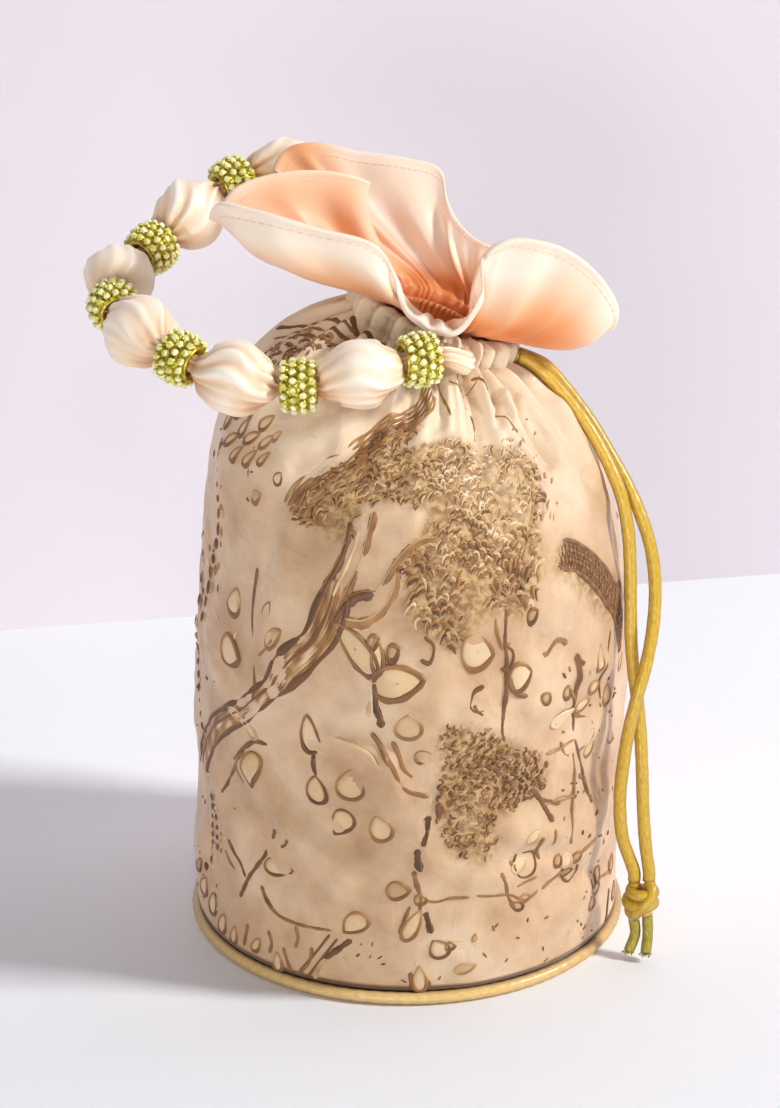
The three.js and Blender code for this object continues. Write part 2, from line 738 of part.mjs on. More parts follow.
// The knot and the two cut tails under it, whose ends just clear the table
const knotShape = new THREE.SphereGeometry(1, 14, 10).rotateX(Math.PI / 2);
knotShape.scale(knotRadius, knotRadius, knotHeight / 2);
add("end_knot", knotShape, goldSatin).position.copy(knotPlace);

const tailTop = knotPlace.z - knotHeight / 2 - clearance;
const leftTail = [
  [knotPlace.x - 2.2, knotPlace.y, tailTop - 0.2],
  [71.2, -37.6, 8],
  [69.3, -39.2, 2.6],
];
const rightTail = [
  [knotPlace.x + 2.2, knotPlace.y, tailTop],
  [75.1, -38.2, 8],
  [74.4, -41, 2],
];
for (const [name, line] of [
  ["end_tail_left", leftTail],
  ["end_tail_right", rightTail],
]) {
  const points = line.map((place) => new THREE.Vector3(...place));
  add(name, tube(points, cordDiameter / 2 - clearance, cordSides, 5), goldSatin);
}

export default potli;
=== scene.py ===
import math

import bpy
import numpy as np
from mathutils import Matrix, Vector


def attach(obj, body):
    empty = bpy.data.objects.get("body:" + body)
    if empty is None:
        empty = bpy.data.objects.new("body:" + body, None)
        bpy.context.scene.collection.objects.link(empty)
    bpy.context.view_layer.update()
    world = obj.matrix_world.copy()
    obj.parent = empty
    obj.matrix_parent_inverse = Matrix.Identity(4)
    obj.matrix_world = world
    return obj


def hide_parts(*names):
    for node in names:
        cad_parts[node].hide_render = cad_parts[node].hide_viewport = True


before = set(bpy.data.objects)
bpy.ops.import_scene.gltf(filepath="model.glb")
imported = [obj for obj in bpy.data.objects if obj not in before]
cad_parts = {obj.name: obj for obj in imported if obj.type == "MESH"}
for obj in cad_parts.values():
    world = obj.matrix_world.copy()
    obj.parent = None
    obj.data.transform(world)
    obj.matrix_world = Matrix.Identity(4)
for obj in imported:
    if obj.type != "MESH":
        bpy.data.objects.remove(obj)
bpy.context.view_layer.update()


# Camera
# It stands in front of the pouch and looks a little down on it, as in the photograph.
def put_in_scene(name, data):
    thing = bpy.data.objects.new(name, data)
    bpy.context.scene.collection.objects.link(thing)
    return thing


camera_lens = bpy.data.cameras.new("camera")
camera_lens.sensor_width = 36
camera_lens.lens = 97.47
camera_lens.clip_start = 0.05
camera = put_in_scene("camera", camera_lens)
camera.location = (-0.00554, -0.87111, 0.45694)
camera.rotation_euler = (math.radians(68.9), 0, 0)
bpy.context.scene.camera = camera

# Free strands of the drawstring
# Two strands of a limp 4 mm gold satin cord leave the slit in the neck's channel, run down over
# the right shoulder, cross once and meet in the knot near the table.
neck_lean = math.radians(20.5)
neck_centre = np.array([0.0075, 0, 0.196])
neck_right = np.array([math.cos(neck_lean), 0, -math.sin(neck_lean)])
neck_back = np.array([0, 1.0, 0])
neck_up = np.array([math.sin(neck_lean), 0, math.cos(neck_lean)])


def at_neck(turn, reach, height):
    """Places by angle, reach and height in the leaning neck's own frame."""
    turn = np.asarray(turn, float)[..., None]
    reach = np.asarray(reach, float)[..., None]
    height = np.asarray(height, float)[..., None]
    level = neck_right * (reach * np.cos(turn)) + neck_back * (reach * np.sin(turn))
    return neck_centre + level + neck_up * height


def bend_between(before, start, end, after, share):
    """The rounded stretch from start to end, which passes on smoothly to its neighbours."""
    at_start = np.linalg.norm(start - before) ** 0.5
    at_end = at_start + np.linalg.norm(end - start) ** 0.5
    at_after = at_end + np.linalg.norm(after - end) ** 0.5
    t = (at_start + share * (at_end - at_start))[:, None]
    first = ((at_start - t) * before + t * start) / at_start
    middle = ((at_end - t) * start + (t - at_start) * end) / (at_end - at_start)
    last = ((at_after - t) * end + (t - at_end) * after) / (at_after - at_end)
    rising = ((at_end - t) * first + t * middle) / at_end
    falling = ((at_after - t) * middle + (t - at_start) * last) / (at_after - at_start)
    return ((at_end - t) * rising + (t - at_start) * falling) / (at_end - at_start)


def smooth_line(points, step):
    """The rounded line through the points, as places about one step apart."""
    points = np.asarray(points, float)
    rail = np.vstack([2 * points[0] - points[1], points, 2 * points[-1] - points[-2]])
    share = np.linspace(0, 1, 17)[1:]
    fine = [points[:1]]
    for corners in zip(rail, rail[1:], rail[2:], rail[3:]):
        fine.append(bend_between(*corners, share))
    fine = np.vstack(fine)
    lengths = np.r_[0, np.cumsum(np.linalg.norm(np.diff(fine, axis=0), axis=1))]
    wanted = np.linspace(0, lengths[-1], max(round(lengths[-1] / step), 2) + 1)
    return np.stack([np.interp(wanted, lengths, column) for column in fine.T], 1)


def full_turn(count):
    return np.arange(count) / count * 2 * math.pi


def rings_round(line, radii, sides):
    """Rings of places round a line, none turned against the next."""
    heading = np.gradient(line, axis=0)
    heading /= np.linalg.norm(heading, axis=1)[:, None]
    across = np.cross(heading[0], [0.31, 0.83, 0.46])
    turn = full_turn(sides)
    rings = []
    for place, ahead, radius in zip(line, heading, np.broadcast_to(radii, len(line))):
        across = across - ahead * across.dot(ahead)
        across /= np.linalg.norm(across)
        upward = np.cross(ahead, across)
        ring = np.outer(np.cos(turn), across) + np.outer(np.sin(turn), upward)
        rings.append(place + radius * ring)
    return np.array(rings)


def lengths_along(line):
    return np.r_[0, np.cumsum(np.linalg.norm(np.diff(line, axis=0), axis=1))]


def grid_faces(rows, columns, wrapped, joined):
    """Corner numbers of a grid's faces, and the row and column of each corner."""
    row = np.arange(rows if joined else rows - 1)[:, None]
    column = np.arange(columns if wrapped else columns - 1)[None, :]
    row, column = np.broadcast_arrays(row, column)
    row, column = row.ravel(), column.ravel()
    rows_of = np.stack([row, row, row + 1, row + 1], 1)
    columns_of = np.stack([column, column + 1, column + 1, column], 1)
    return (rows_of % rows) * columns + columns_of % columns, rows_of, columns_of


def volume_of(places, faces):
    corners = places[faces]
    cross = np.cross(corners[:, 1], corners[:, 2]) + np.cross(corners[:, 2], corners[:, 3])
    return (corners[:, 0] * cross).sum()


def mesh_piece(name, places, faces, finish, shades=None, smooth=True):
    """A piece made of places and faces, with the shades that its finish reads at each place."""
    mesh = bpy.data.meshes.new(name)
    mesh.from_pydata(places.tolist(), [], faces)
    for label, values in (shades or {}).items():
        layer = mesh.attributes.new(label, "FLOAT", "POINT")
        layer.data.foreach_set("value", np.asarray(values, float).ravel())
    mesh.polygons.foreach_set("use_smooth", [smooth] * len(mesh.polygons))
    mesh.materials.append(finish)
    return put_in_scene(name, mesh)


def sewn_piece(name, places, finish, along, across=None, ends="closed", shades=None):
    """A piece skinned over rows of rings. Its ends are closed by a cap or joined to each other."""
    rows, columns = places.shape[:2]
    flat = places.reshape(-1, 3)
    faces, rows_of, columns_of = grid_faces(rows, columns, True, ends == "joined")
    across = np.linspace(0, 1, columns + 1) if across is None else across
    if ends == "joined" and len(along) == rows:
        along = np.r_[along, along[0]]
    if volume_of(flat, faces) < 0:
        faces, rows_of, columns_of = faces[:, ::-1], rows_of[:, ::-1], columns_of[:, ::-1]
    cloth = np.stack([across[columns_of], along[rows_of]], -1).reshape(-1, 2)
    corners = faces.tolist()
    if ends == "closed":
        first = list(range(columns))
        last = [(rows - 1) * columns + column for column in range(columns)]
        caps = [first, last[::-1]] if rows_of[0][0] == 1 else [first[::-1], last]
        corners += caps
        tip = [[across[column], along[0]] for column in caps[0]]
        tail = [[across[column % columns], along[-1]] for column in caps[1]]
        cloth = np.vstack([cloth, tip, tail])
    piece = mesh_piece(name, flat, corners, finish, shades)
    piece.data.uv_layers.new(name="cloth").data.foreach_set("uv", cloth.ravel())
    return piece


def new_finish(name):
    finish = bpy.data.materials.new(name)
    finish.use_nodes = True
    return finish, finish.node_tree, finish.node_tree.nodes["Principled BSDF"]


def plug(node, values):
    """Sets a node's sockets, or joins one to the output that is given for it."""
    for socket, value in values.items():
        if isinstance(value, bpy.types.NodeSocket):
            node.id_data.links.new(value, node.inputs[socket])
        else:
            node.inputs[socket].default_value = value


def add_node(tree, kind, values=None, **settings):
    node = tree.nodes.new("ShaderNode" + kind)
    for name, value in settings.items():
        setattr(node, name, value)
    plug(node, values or {})
    return node


def over_cloth(tree):
    return add_node(tree, "UVMap", uv_map="cloth").outputs[0]


def sums(tree, operation, *values):
    return add_node(tree, "Math", dict(enumerate(values)), operation=operation).outputs[0]


def clouds(tree, place, scale, detail, more=None):
    values = {"Vector": place, "Scale": scale, "Detail": detail}
    return add_node(tree, "TexNoise", {**values, **(more or {})}).outputs[0]


def blend(tree, share, first, second):
    return add_node(tree, "Mix", {0: share, 6: first, 7: second}, data_type="RGBA").outputs[2]


def raised(tree, height, strength, distance, under=None):
    """A bump of the height that is given, on top of another one."""
    values = {"Height": height, "Strength": strength, "Distance": distance}
    if under:
        values["Normal"] = under
    return add_node(tree, "Bump", values).outputs[0]


def dyed(red, green, blue):
    """A colour as it is seen, turned into the values that a finish mixes in."""
    return (*[((part / 255 + 0.055) / 1.055) ** 2.4 for part in (red, green, blue)], 1)


def colour_steps(tree, value, steps):
    """A ramp of colours, given as place and colour."""
    ramp = add_node(tree, "ValToRGB", {0: value})
    while len(ramp.color_ramp.elements) < len(steps):
        ramp.color_ramp.elements.new(0.5)
    for element, (place, colour) in zip(ramp.color_ramp.elements, steps):
        element.position = place
        element.color = colour
    return ramp.outputs[0]


def cord_finish(name, deep, dark, light, twists, pitch):
    """Satin yarns that run slightly wound round a cord: glossy, with fine grooves between, and painted
    shade that darkens the cord to its deep colour towards its edges as seen.
    """
    finish, tree, shader = new_finish(name)
    cloth = over_cloth(tree)
    split = add_node(tree, "SeparateXYZ", {0: cloth}).outputs
    along = sums(tree, "MULTIPLY", split[1], 2 * math.pi / pitch)
    groove = sums(tree, "SINE", sums(tree, "MULTIPLY_ADD", split[0], 2 * math.pi * twists, along))
    drawn_out = add_node(tree, "Mapping", {"Vector": cloth, "Scale": (6, 120, 1)}).outputs[0]
    fibre = clouds(tree, drawn_out, 4, 3)
    tint = colour_steps(tree, fibre, [(0.25, dark), (0.75, light)])
    # Painted shade: the colour turns to deep where the cord's surface turns away from the view, which
    # darkens its sides.
    side = add_node(tree, "LayerWeight", {"Blend": 0.42}).outputs["Facing"]
    height = sums(tree, "MULTIPLY_ADD", groove, 0.5, fibre)
    values = {"Base Color": blend(tree, side, tint, deep), "Roughness": 0.3, "Sheen Weight": 0.15}
    plug(shader, {**values, "Normal": raised(tree, height, 0.22, 0.0002)})
    return finish


cord_pitch = 0.0042
gold_satin_cord = cord_finish(
    "gold satin cord", dyed(104, 74, 6), dyed(202, 152, 26), dyed(240, 204, 76), 3, cord_pitch
)
cord_thickness = 0.004
strand_spacing = 0.0023
channel_level = -0.0008
knot_place = np.array([0.0727, -0.037, 0.0198])


def slit_mouth(way, reach):
    place = neck_centre + neck_right * reach + neck_up * channel_level
    return place + neck_back * way * strand_spacing


def knot_entry(way, height):
    return knot_place + np.array([way * strand_spacing, 0, 0.0065 + height])


outer_route = [
    slit_mouth(1, 0.028),
    slit_mouth(1, 0.0305),
    (0.0413, 0.001, 0.1823),
    (0.049, -0.0019, 0.1743),
    (0.056, -0.0054, 0.1653),
    (0.0621, -0.009, 0.1557),
    (0.0672, -0.0125, 0.1471),
    (0.0708, -0.0155, 0.1392),
    (0.0736, -0.0185, 0.1309),
    (0.075, -0.0215, 0.1222),
    (0.0751, -0.0245, 0.1136),
    (0.0742, -0.0278, 0.1051),
    (0.0724, -0.031, 0.0965),
    (0.0698, -0.0336, 0.087),
    (0.0675, -0.035, 0.0766),
    (0.066, -0.0356, 0.0651),
    (0.0653, -0.036, 0.0534),
    (0.0664, -0.0366, 0.041),
    knot_entry(-1, 0.0025),
    knot_entry(-1, 0),
]
inner_route = [
    slit_mouth(-1, 0.028),
    slit_mouth(-1, 0.0305),
    (0.0405, -0.0037, 0.1814),
    (0.0482, -0.0069, 0.1737),
    (0.0553, -0.0108, 0.1647),
    (0.0609, -0.0144, 0.155),
    (0.0646, -0.0176, 0.146),
    (0.0666, -0.0202, 0.1362),
    (0.0674, -0.0222, 0.1257),
    (0.0677, -0.024, 0.1151),
    (0.0681, -0.026, 0.1027),
    (0.069, -0.0274, 0.0932),
    (0.0704, -0.0286, 0.0838),
    (0.0715, -0.0306, 0.0729),
    (0.0722, -0.033, 0.0605),
    (0.0728, -0.035, 0.0478),
    (0.0738, -0.0364, 0.037),
    knot_entry(1, 0.0025),
    knot_entry(1, 0),
]


def cord_piece(name, route, radius, step=0.0011, sides=20):
    """A cord along a route, a little uneven in thickness, and the line that it follows."""
    line = smooth_line(route, step)
    walk = lengths_along(line)
    swell = 1 + 0.025 * np.sin(walk * 700) * np.sin(walk * 310)
    rings = rings_round(line, radius * swell, sides)
    return sewn_piece(name, rings, gold_satin_cord, walk), line


for name, route in (("outer", outer_route), ("inner", inner_route)):
    strand, line = cord_piece(f"drawstring_{name}", route, cord_thickness / 2)
    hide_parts(f"drawstring_strand_{name}")
    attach(strand, "pouch")

# Knot and tails
# The two strands are tied together in one overhand knot of the same cord, pulled to a small
# ball, and their two cut ends stick out below it.
wind = np.linspace(0, 1, 90)
wrap_turn = 2 * math.pi * 2.35 * wind + 2.2
wrap_reach = 0.0041 * np.sin(math.pi * (0.2 + 0.6 * wind)) ** 0.8
wrap_line = np.stack(
    [
        wrap_reach * np.cos(wrap_turn),
        wrap_reach * np.sin(wrap_turn),
        0.0041 * (1 - 2 * wind) + 0.0007 * np.cos(wrap_turn),
    ],
    1,
)
crossing = [
    (0.0023, -0.0004, 0.0058),
    (0.0031, -0.0026, 0.0044),
    (0.0023, -0.0044, 0.0022),
    (0.0002, -0.0049, -0.0004),
    (-0.0017, -0.004, -0.0029),
    (-0.0022, -0.0014, -0.0055),
]
core = [(-0.0023, 0, 0.006), (-0.001, 0.0012, 0.002), (0.0012, 0.001, -0.003), (0.0022, 0, -0.006)]
knot_parts = []
for name, route, radius in (
    ("wrap", wrap_line, 0.00195),
    ("crossing", crossing, 0.0018),
    ("core", core, 0.0018),
):
    knot_parts.append(cord_piece(f"knot_{name}", np.array(route) + knot_place, radius, 0.0005, 16)[0])


def join_parts(parts, name):
    """Makes one piece of several and gives it its name."""
    bpy.ops.object.select_all(action="DESELECT")
    for part in parts:
        part.select_set(True)
    bpy.context.view_layer.objects.active = parts[0]
    bpy.ops.object.join()
    joined = bpy.context.view_layer.objects.active
    joined.name = name
    joined.data.name = name
    bpy.ops.object.select_all(action="DESELECT")
    return joined


knot = join_parts(knot_parts, "drawstring_knot")
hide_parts("end_knot")
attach(knot, "pouch")

tail_routes = {
    "left": [(0.0705, -0.037, 0.0138), (0.0712, -0.0376, 0.008), (0.0693, -0.0392, 0.0028)],
    "right": [(0.0749, -0.037, 0.0138), (0.0751, -0.0382, 0.008), (0.0744, -0.041, 0.003)],
}
olive_cord = cord_finish(
    "gold satin cord end", dyed(74, 66, 6), dyed(140, 124, 26), dyed(206, 190, 74), 3, cord_pitch
)
tails = {}
for side, route in tail_routes.items():
    tail, line = cord_piece(f"tail_{side}", route, 0.0017, 0.0005, 16)
    parts = [tail]
    down = line[-1] - line[-4]
    down /= np.linalg.norm(down)
    for yarn in range(11):
        turn = yarn * 2.4
        spread = np.array([math.cos(turn), 0.6 * math.sin(turn), 0]) * 0.00028 * yarn**0.6
        root = line[-2] + 0.8 * spread
        tip = line[-1] + 2.1 * spread + down * 0.0009
        tip[2] = max(tip[2], 0.0006)
        yarn_route = [root, (root + tip) / 2, tip]
        parts.append(cord_piece(f"yarn_{side}_{yarn}", yarn_route, 0.00024, 0.0006, 5)[0])
    tails[side] = join_parts(parts, f"drawstring_tail_{side}")
    tails[side].data.materials.clear()
    tails[side].data.materials.append(olive_cord)
    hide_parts(f"end_tail_{side}")
    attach(tails[side], "pouch")

# Base cloth and board
# A disc of the wall's plain backing cloth closes the base from below. A grey board above it
# keeps the base flat and is never seen.
def woven_threads():
    """Height and tint of a plain weave, with warp and weft at the given fineness."""
    group = bpy.data.node_groups.new("woven threads", "ShaderNodeTree")
    for name, way, kind in (
        ("Cloth", "INPUT", "NodeSocketVector"),
        ("Fineness", "INPUT", "NodeSocketFloat"),
        ("Height", "OUTPUT", "NodeSocketFloat"),
        ("Slub", "OUTPUT", "NodeSocketFloat"),
    ):
        group.interface.new_socket(name, in_out=way, socket_type=kind)
    entry = group.nodes.new("NodeGroupInput").outputs
    waves = []
    for direction in ("X", "Y"):
        values = {"Vector": entry["Cloth"], "Scale": entry["Fineness"], "Distortion": 0.6, "Detail": 1}
        waves.append(add_node(group, "TexWave", values, bands_direction=direction).outputs["Fac"])
    drawn_out = add_node(group, "Mapping", {"Vector": entry["Cloth"], "Scale": (900, 90, 90)})
    slub = clouds(group, drawn_out.outputs[0], 1, 3)
    plug(group.nodes.new("NodeGroupOutput"), {"Height": sums(group, "MAXIMUM", *waves), "Slub": slub})
    return group


weave = woven_threads()


def place_weave(tree, place, fineness):
    """The weave's own height and slub over the place that is given."""
    values = {"Cloth": place, "Fineness": fineness}
    return add_node(tree, "Group", values, node_tree=weave).outputs


def over_piece(tree):
    return add_node(tree, "TexCoord").outputs["Object"]


def woven_finish(name, fineness, steps, relief, roughness):
    finish, tree, shader = new_finish(name)
    threads = place_weave(tree, over_piece(tree), fineness)
    tint = colour_steps(tree, threads["Slub"], steps)
    bump = raised(tree, threads["Height"], relief, 0.0002)
    plug(shader, {"Base Color": tint, "Normal": bump, "Roughness": roughness})
    return finish


def round_and_inset(disc, facing, bevel, segments, insets):
    """Rounds a disc's edges and draws rings on its two flat faces, as a seam or a hem leaves them."""
    bpy.ops.object.mode_set(mode="EDIT")
    bpy.ops.mesh.select_all(action="SELECT")
    bpy.ops.mesh.bevel(offset=bevel, segments=segments)
    bpy.ops.object.mode_set(mode="OBJECT")
    for face in disc.data.polygons:
        face.select = abs(face.normal[facing]) > 0.99
    bpy.ops.object.mode_set(mode="EDIT")
    bpy.ops.mesh.select_mode(type="FACE")
    for thickness, depth in insets:
        bpy.ops.mesh.inset(thickness=thickness, depth=depth)
    bpy.ops.object.mode_set(mode="OBJECT")


backing_steps = [(0.35, dyed(190, 158, 122)), (0.65, dyed(214, 184, 150))]
backing_cloth = woven_finish("backing cloth", 420, backing_steps, 0.5, 0.8)
base_radius = 0.0654
base_thickness = 0.0016
bpy.ops.object.select_all(action="DESELECT")
bpy.ops.mesh.primitive_cylinder_add(
    vertices=160, radius=base_radius, depth=base_thickness, location=(0, 0, base_thickness / 2)
)
base_cloth = bpy.context.active_object
base_cloth.name = "base_cloth"
bpy.ops.object.transform_apply(location=True)
round_and_inset(base_cloth, 2, 0.0004, 2, [(0.0025, 0), (0.0008, -0.0003), (0.0008, 0.0003)])
base_cloth.data.materials.append(backing_cloth)
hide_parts("base_panel")
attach(base_cloth, "pouch")


def speckled_finish(name, scale, detail, steps, values, relief=None):
    """A finish whose colour varies finely, with a bump as far as relief where it is given."""
    finish, tree, shader = new_finish(name)
    specks = clouds(tree, over_piece(tree), scale, detail)
    plug(shader, {"Base Color": colour_steps(tree, specks, steps), **values})
    if relief:
        plug(shader, {"Normal": raised(tree, specks, 0.5, relief)})
    return finish


board_steps = [(0.4, dyed(160, 152, 140)), (0.62, dyed(190, 182, 168))]
bag_board = speckled_finish("grey bag board", 700, 5, board_steps, {"Roughness": 0.9})
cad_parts["base_board"].data.materials.clear()
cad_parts["base_board"].data.materials.append(bag_board)

# Piping
# A filler cord covered with gold satin cut on the bias is sewn in round the foot of the wall.
# Its cover puckers slightly where the wall's curve takes up the slack.
# Its deep colour is painted shade at the edges of the cover as seen.
gold_piping = cord_finish(
    "gold satin piping", dyed(150, 100, 40), dyed(230, 182, 108), dyed(250, 222, 156), 1, 0.0031
)
foot_radius = 0.0677
foot_girth = 0.4254
piping_turn = full_turn(360)
piping_line = foot_radius * np.stack([np.cos(piping_turn), np.sin(piping_turn), 0 * piping_turn], 1)
section = full_turn(18)
pucker = 0.00195 + 0.00007 * np.sin(piping_turn * 97 + 2 * np.sin(piping_turn * 5))
outward_share = pucker[:, None, None] * np.cos(section)[None, :, None] / foot_radius
piping_places = piping_line[:, None] * (1 + outward_share)
piping_places[:, :, 2] = 0.002 + pucker[:, None] * np.sin(section)[None, :]
piping = sewn_piece("piping", piping_places, gold_piping, np.linspace(0, foot_girth, 361), ends="joined")
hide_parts("base_piping")
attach(piping, "pouch")

# Outer wall
# One strip of tan satin-faced cloth with a woven backing goes round the base, is taken in over
# the shoulder and gathered on the drawstring, and its top edge is turned in over the cord.
wall_fit = {
    "foot": 0.0043,
    "foot_radius": foot_radius,
    "wall_radius": 0.0674,
    "neck_radius": 0.025,
    "neck_low": -0.004,
    "neck_high": 0.002,
    "sink": 0,
}
upright = np.array([0, 0, 1.0])


def drawn_curve(start, first, last, end, t):
    """A smooth curve from start to end that leaves towards first and arrives from last."""
    return start * (1 - t) ** 3 + 3 * first * t * (1 - t) ** 2 + 3 * last * t**2 * (1 - t) + end * t**3


def graded(*stretches):
    """Steps over stretches that join, each given by its start, end and number of steps."""
    runs = [np.linspace(*stretch)[:-1] for stretch in stretches[:-1]]
    return np.concatenate([*runs, np.linspace(*stretches[-1])])


def wall_place(turn, rise, fit):
    """The smooth wall: rise 0 to 1 is straight, to 2 the shoulder, to 3 the neck, to 4 turned in."""
    turn, rise = np.broadcast_arrays(np.asarray(turn, float), np.asarray(rise, float))
    rise = rise[..., None]
    out = np.stack([np.cos(turn), np.sin(turn), 0 * turn], -1)
    foot = out * fit["foot_radius"] + upright * fit["foot"]
    top = out * fit["wall_radius"] + np.array([0.0012, 0, 0.1])
    side = ((1 + np.cos(turn)) / 2)[..., None]
    lift = 0.062 + 0.002 * side - fit["sink"]
    spread = 0.04 - 0.034 * side
    slope = np.radians(12 + 24 * np.sin(turn) ** 2)[..., None]
    end = at_neck(turn, fit["neck_radius"], fit["neck_low"])
    low = top + upright * lift
    high = end + out * spread * np.cos(slope)
    high = high - upright * (spread * np.sin(slope) + fit["sink"])
    shoulder = drawn_curve(top, low, high, end, np.clip(rise - 1, 0, 1))
    place = np.where(rise <= 1, foot + (top - foot) * np.clip(rise, 0, 1), shoulder)
    place = place + neck_up * np.clip(rise - 2, 0, 1) * (fit["neck_high"] - fit["neck_low"])
    fold = np.clip(rise - 3, 0, 1) * math.pi / 2
    inward = at_neck(turn, 1, 0) - neck_centre
    return place - inward * 0.0055 * (1 - np.cos(fold)) + neck_up * 0.0015 * np.sin(fold)


def wall_outward(turn, rise, fit, last):
    step = 0.02
    round_about = wall_place(turn + step, rise, fit) - wall_place(turn - step, rise, fit)
    above = wall_place(turn, np.minimum(rise + step, last), fit)
    upward = above - wall_place(turn, np.maximum(rise - step, 0), fit)
    normal = np.cross(round_about, upward)
    return normal / np.linalg.norm(normal, axis=-1)[..., None]


def eased(value, low, high):
    share = np.clip((value - low) / (high - low), 0, 1)
    return share * share * (3 - 2 * share)


def slack(turn, rise):
    share = np.clip(rise / 2, 0, 1)
    fade = np.sin(math.pi * share).clip(0) ** 0.7
    lobes = 0.5 * np.sin(3 * turn + 4 * share - 1.5)
    hollows = 0.6 * np.cos(2 * turn) * np.cos(13 * share - 4.4)
    return 0.0017 * fade * (lobes + hollows)


def gathers(turn, rise):
    grown = eased(rise, 1.35, 2)
    flattened = 1 - 0.85 * eased(rise, 2.9, 4)
    uneven = 0.92 + 0.24 * np.sin(5 * turn + 1) + 0.2 * np.sin(9 * turn - 0.6)
    pleat = 24 * turn + 0.5 * np.sin(7 * turn) + 0.4 * np.sin(4 * turn + 1)
    pleats = 0.0019 * grown * uneven * (np.cos(pleat) + 0.32 * np.cos(2 * pleat))
    fine = 0.00038 * eased(rise, 1.55, 1.95) * np.sin(67 * turn + 3 * np.sin(4 * turn))
    cinch = -0.0007 * np.exp(-(((rise - 2.12) / 0.13) ** 2))
    return (pleats + fine) * flattened + cinch


def painted_pleat_shade(turn, rise):
    """1 deep between two gathers near the neck, 0 on their ridges and on the smooth wall: the share of
    painted shade in the pleats.
    """
    return np.clip(-gathers(turn, rise) / 0.0014, 0, 1) * eased(rise, 1.5, 1.85)


# Folds as they lie on the cloth, in millimetres across from the front's middle and up from the
# foot: start, end, width and height, hollows with a negative height.
wall_folds = [
    ((-56, 68), (-20, 37), 4.2, 2.0),
    ((-46, 72), (-20, 52), 5.0, -1.3),
    ((-66, 58), (-34, 30), 7.0, -1.4),
    ((-34, 30), (-8, 26), 5.0, 0.9),
    ((-24, 88), (-8, 81), 2.6, 1.4),
    ((-8, 81), (-4, 69), 2.8, 1.1),
    ((-32, 83), (-16, 76), 3.2, -1.0),
    ((-70, 122), (-54, 124), 10.0, -2.6),
    ((-82, 142), (-50, 147), 4.0, 1.3),
    ((-47, 114), (-42, 134), 6.0, 0.7),
    ((-92, 100), (-76, 96), 6.0, 1.0),
    ((-99, 52), (-94, 44), 9.0, -1.3),
    ((-84, 50), (-82, 22), 3.0, -1.2),
    ((-98, 24), (-92, 18), 10.0, 0.9),
    ((-18, 139), (-3, 138), 4.6, 1.9),
    ((-20, 144), (-2, 145), 2.6, -0.8),
    ((-42, 138), (-31, 151), 5.0, -0.3),
    ((-31, 151), (-22, 162), 5.0, -0.4),
    ((-22, 162), (-8, 174), 5.0, -0.4),
    ((-8, 174), (-1, 188), 4.0, -0.4),
    ((-52, 154), (-36, 166), 4.5, 1.8),
    ((-27, 179), (-14, 182), 3.0, 1.1),
    ((46, 180), (38, 166), 2.2, -1.5),
    ((58, 176), (53, 163), 2.2, -1.6),
    ((51, 163), (58, 147), 2.4, -1.5),
    ((42, 166), (46, 150), 3.4, 1.6),
    ((50, 178), (49, 164), 2.4, 1.3),
    ((63, 172), (66, 146), 4.0, 1.4),
    ((77, 172), (80, 138), 4.0, -1.0),
    ((88, 160), (88, 130), 4.5, 1.0),
    ((28, 190), (25, 164), 3.6, -1.2),
    ((12, 190), (11, 168), 3.2, 1.3),
    ((0, 188), (2, 172), 3.0, 1.2),
    ((-62, 190), (-70, 160), 4.0, 1.1),
    ((-84, 190), (-90, 160), 4.0, -1.2),
    ((31, 52), (50, 47), 5.0, 1.5),
    ((33, 43), (50, 40), 3.6, -1.0),
    ((38, 93), (52, 90), 4.0, 1.2),
    ((36, 116), (52, 113), 4.0, 1.2),
    ((40, 107), (56, 103), 2.6, -0.9),
    ((60, 100), (74, 97), 4.0, 1.1),
    ((72, 118), (88, 108), 5.0, 0.9),
    ((70, 60), (54, 84), 7.0, -1.0),
    ((62, 36), (78, 50), 6.0, 0.9),
    ((20, 8), (62, 20), 6.0, 1.0),
    ((44, 30), (76, 24), 3.4, -0.8),
    ((-8, 112), (24, 104), 6.0, -0.9),
    ((-18, 96), (6, 101), 4.0, 1.0),
    ((6, 46), (26, 38), 4.0, 0.8),
]
# Places on the cloth are in millimetres, on a foot of this radius.
cloth_radius = 67.7
half_girth = math.pi * cloth_radius
crease_height = 0.0028
rumple_height = 0.00042


def creases(turn, rise):
    across = (turn + math.pi / 2) * cloth_radius
    up = rise * 100
    height = 0
    for (start_across, start_up), (end_across, end_up), width, depth in wall_folds:
        from_start = (across - start_across + half_girth / 2) % half_girth - half_girth / 2
        run = np.array([end_across - start_across, end_up - start_up], float)
        share = (from_start * run[0] + (up - start_up) * run[1]) / run.dot(run)
        nearest = np.clip(share, 0, 1)
        away = (from_start - nearest * run[0]) ** 2 + (up - start_up - nearest * run[1]) ** 2
        height = height + crease_height * math.tanh(depth / 1.4) * np.exp(-away / width**2)
    rumple = np.sin(across * 0.21 + 2 * np.sin(up * 0.061)) * np.sin(up * 0.17 + np.sin(across * 0.13))
    rumple = rumple + 0.6 * np.sin(across * 0.47 + 1.6 * np.sin(up * 0.19)) * np.sin(up * 0.41)
    shown = np.sin(math.pi * rise.clip(0, 2) / 2)
    return height * eased(2.0 - rise, 0, 0.08) + rumple_height * rumple * shown


def at_height(turn, rise, fit, last, height):
    return wall_place(turn, rise, fit) + wall_outward(turn, rise, fit, last) * height[..., None]


def cloth_place(turn, rise, lift):
    """The wall's outer face with its folds, and as far above it as lift."""
    rise = np.asarray(rise, float)
    height = slack(turn, rise) + gathers(turn, rise) + creases(turn, rise) + lift
    return at_height(turn, rise, wall_fit, 4, height)


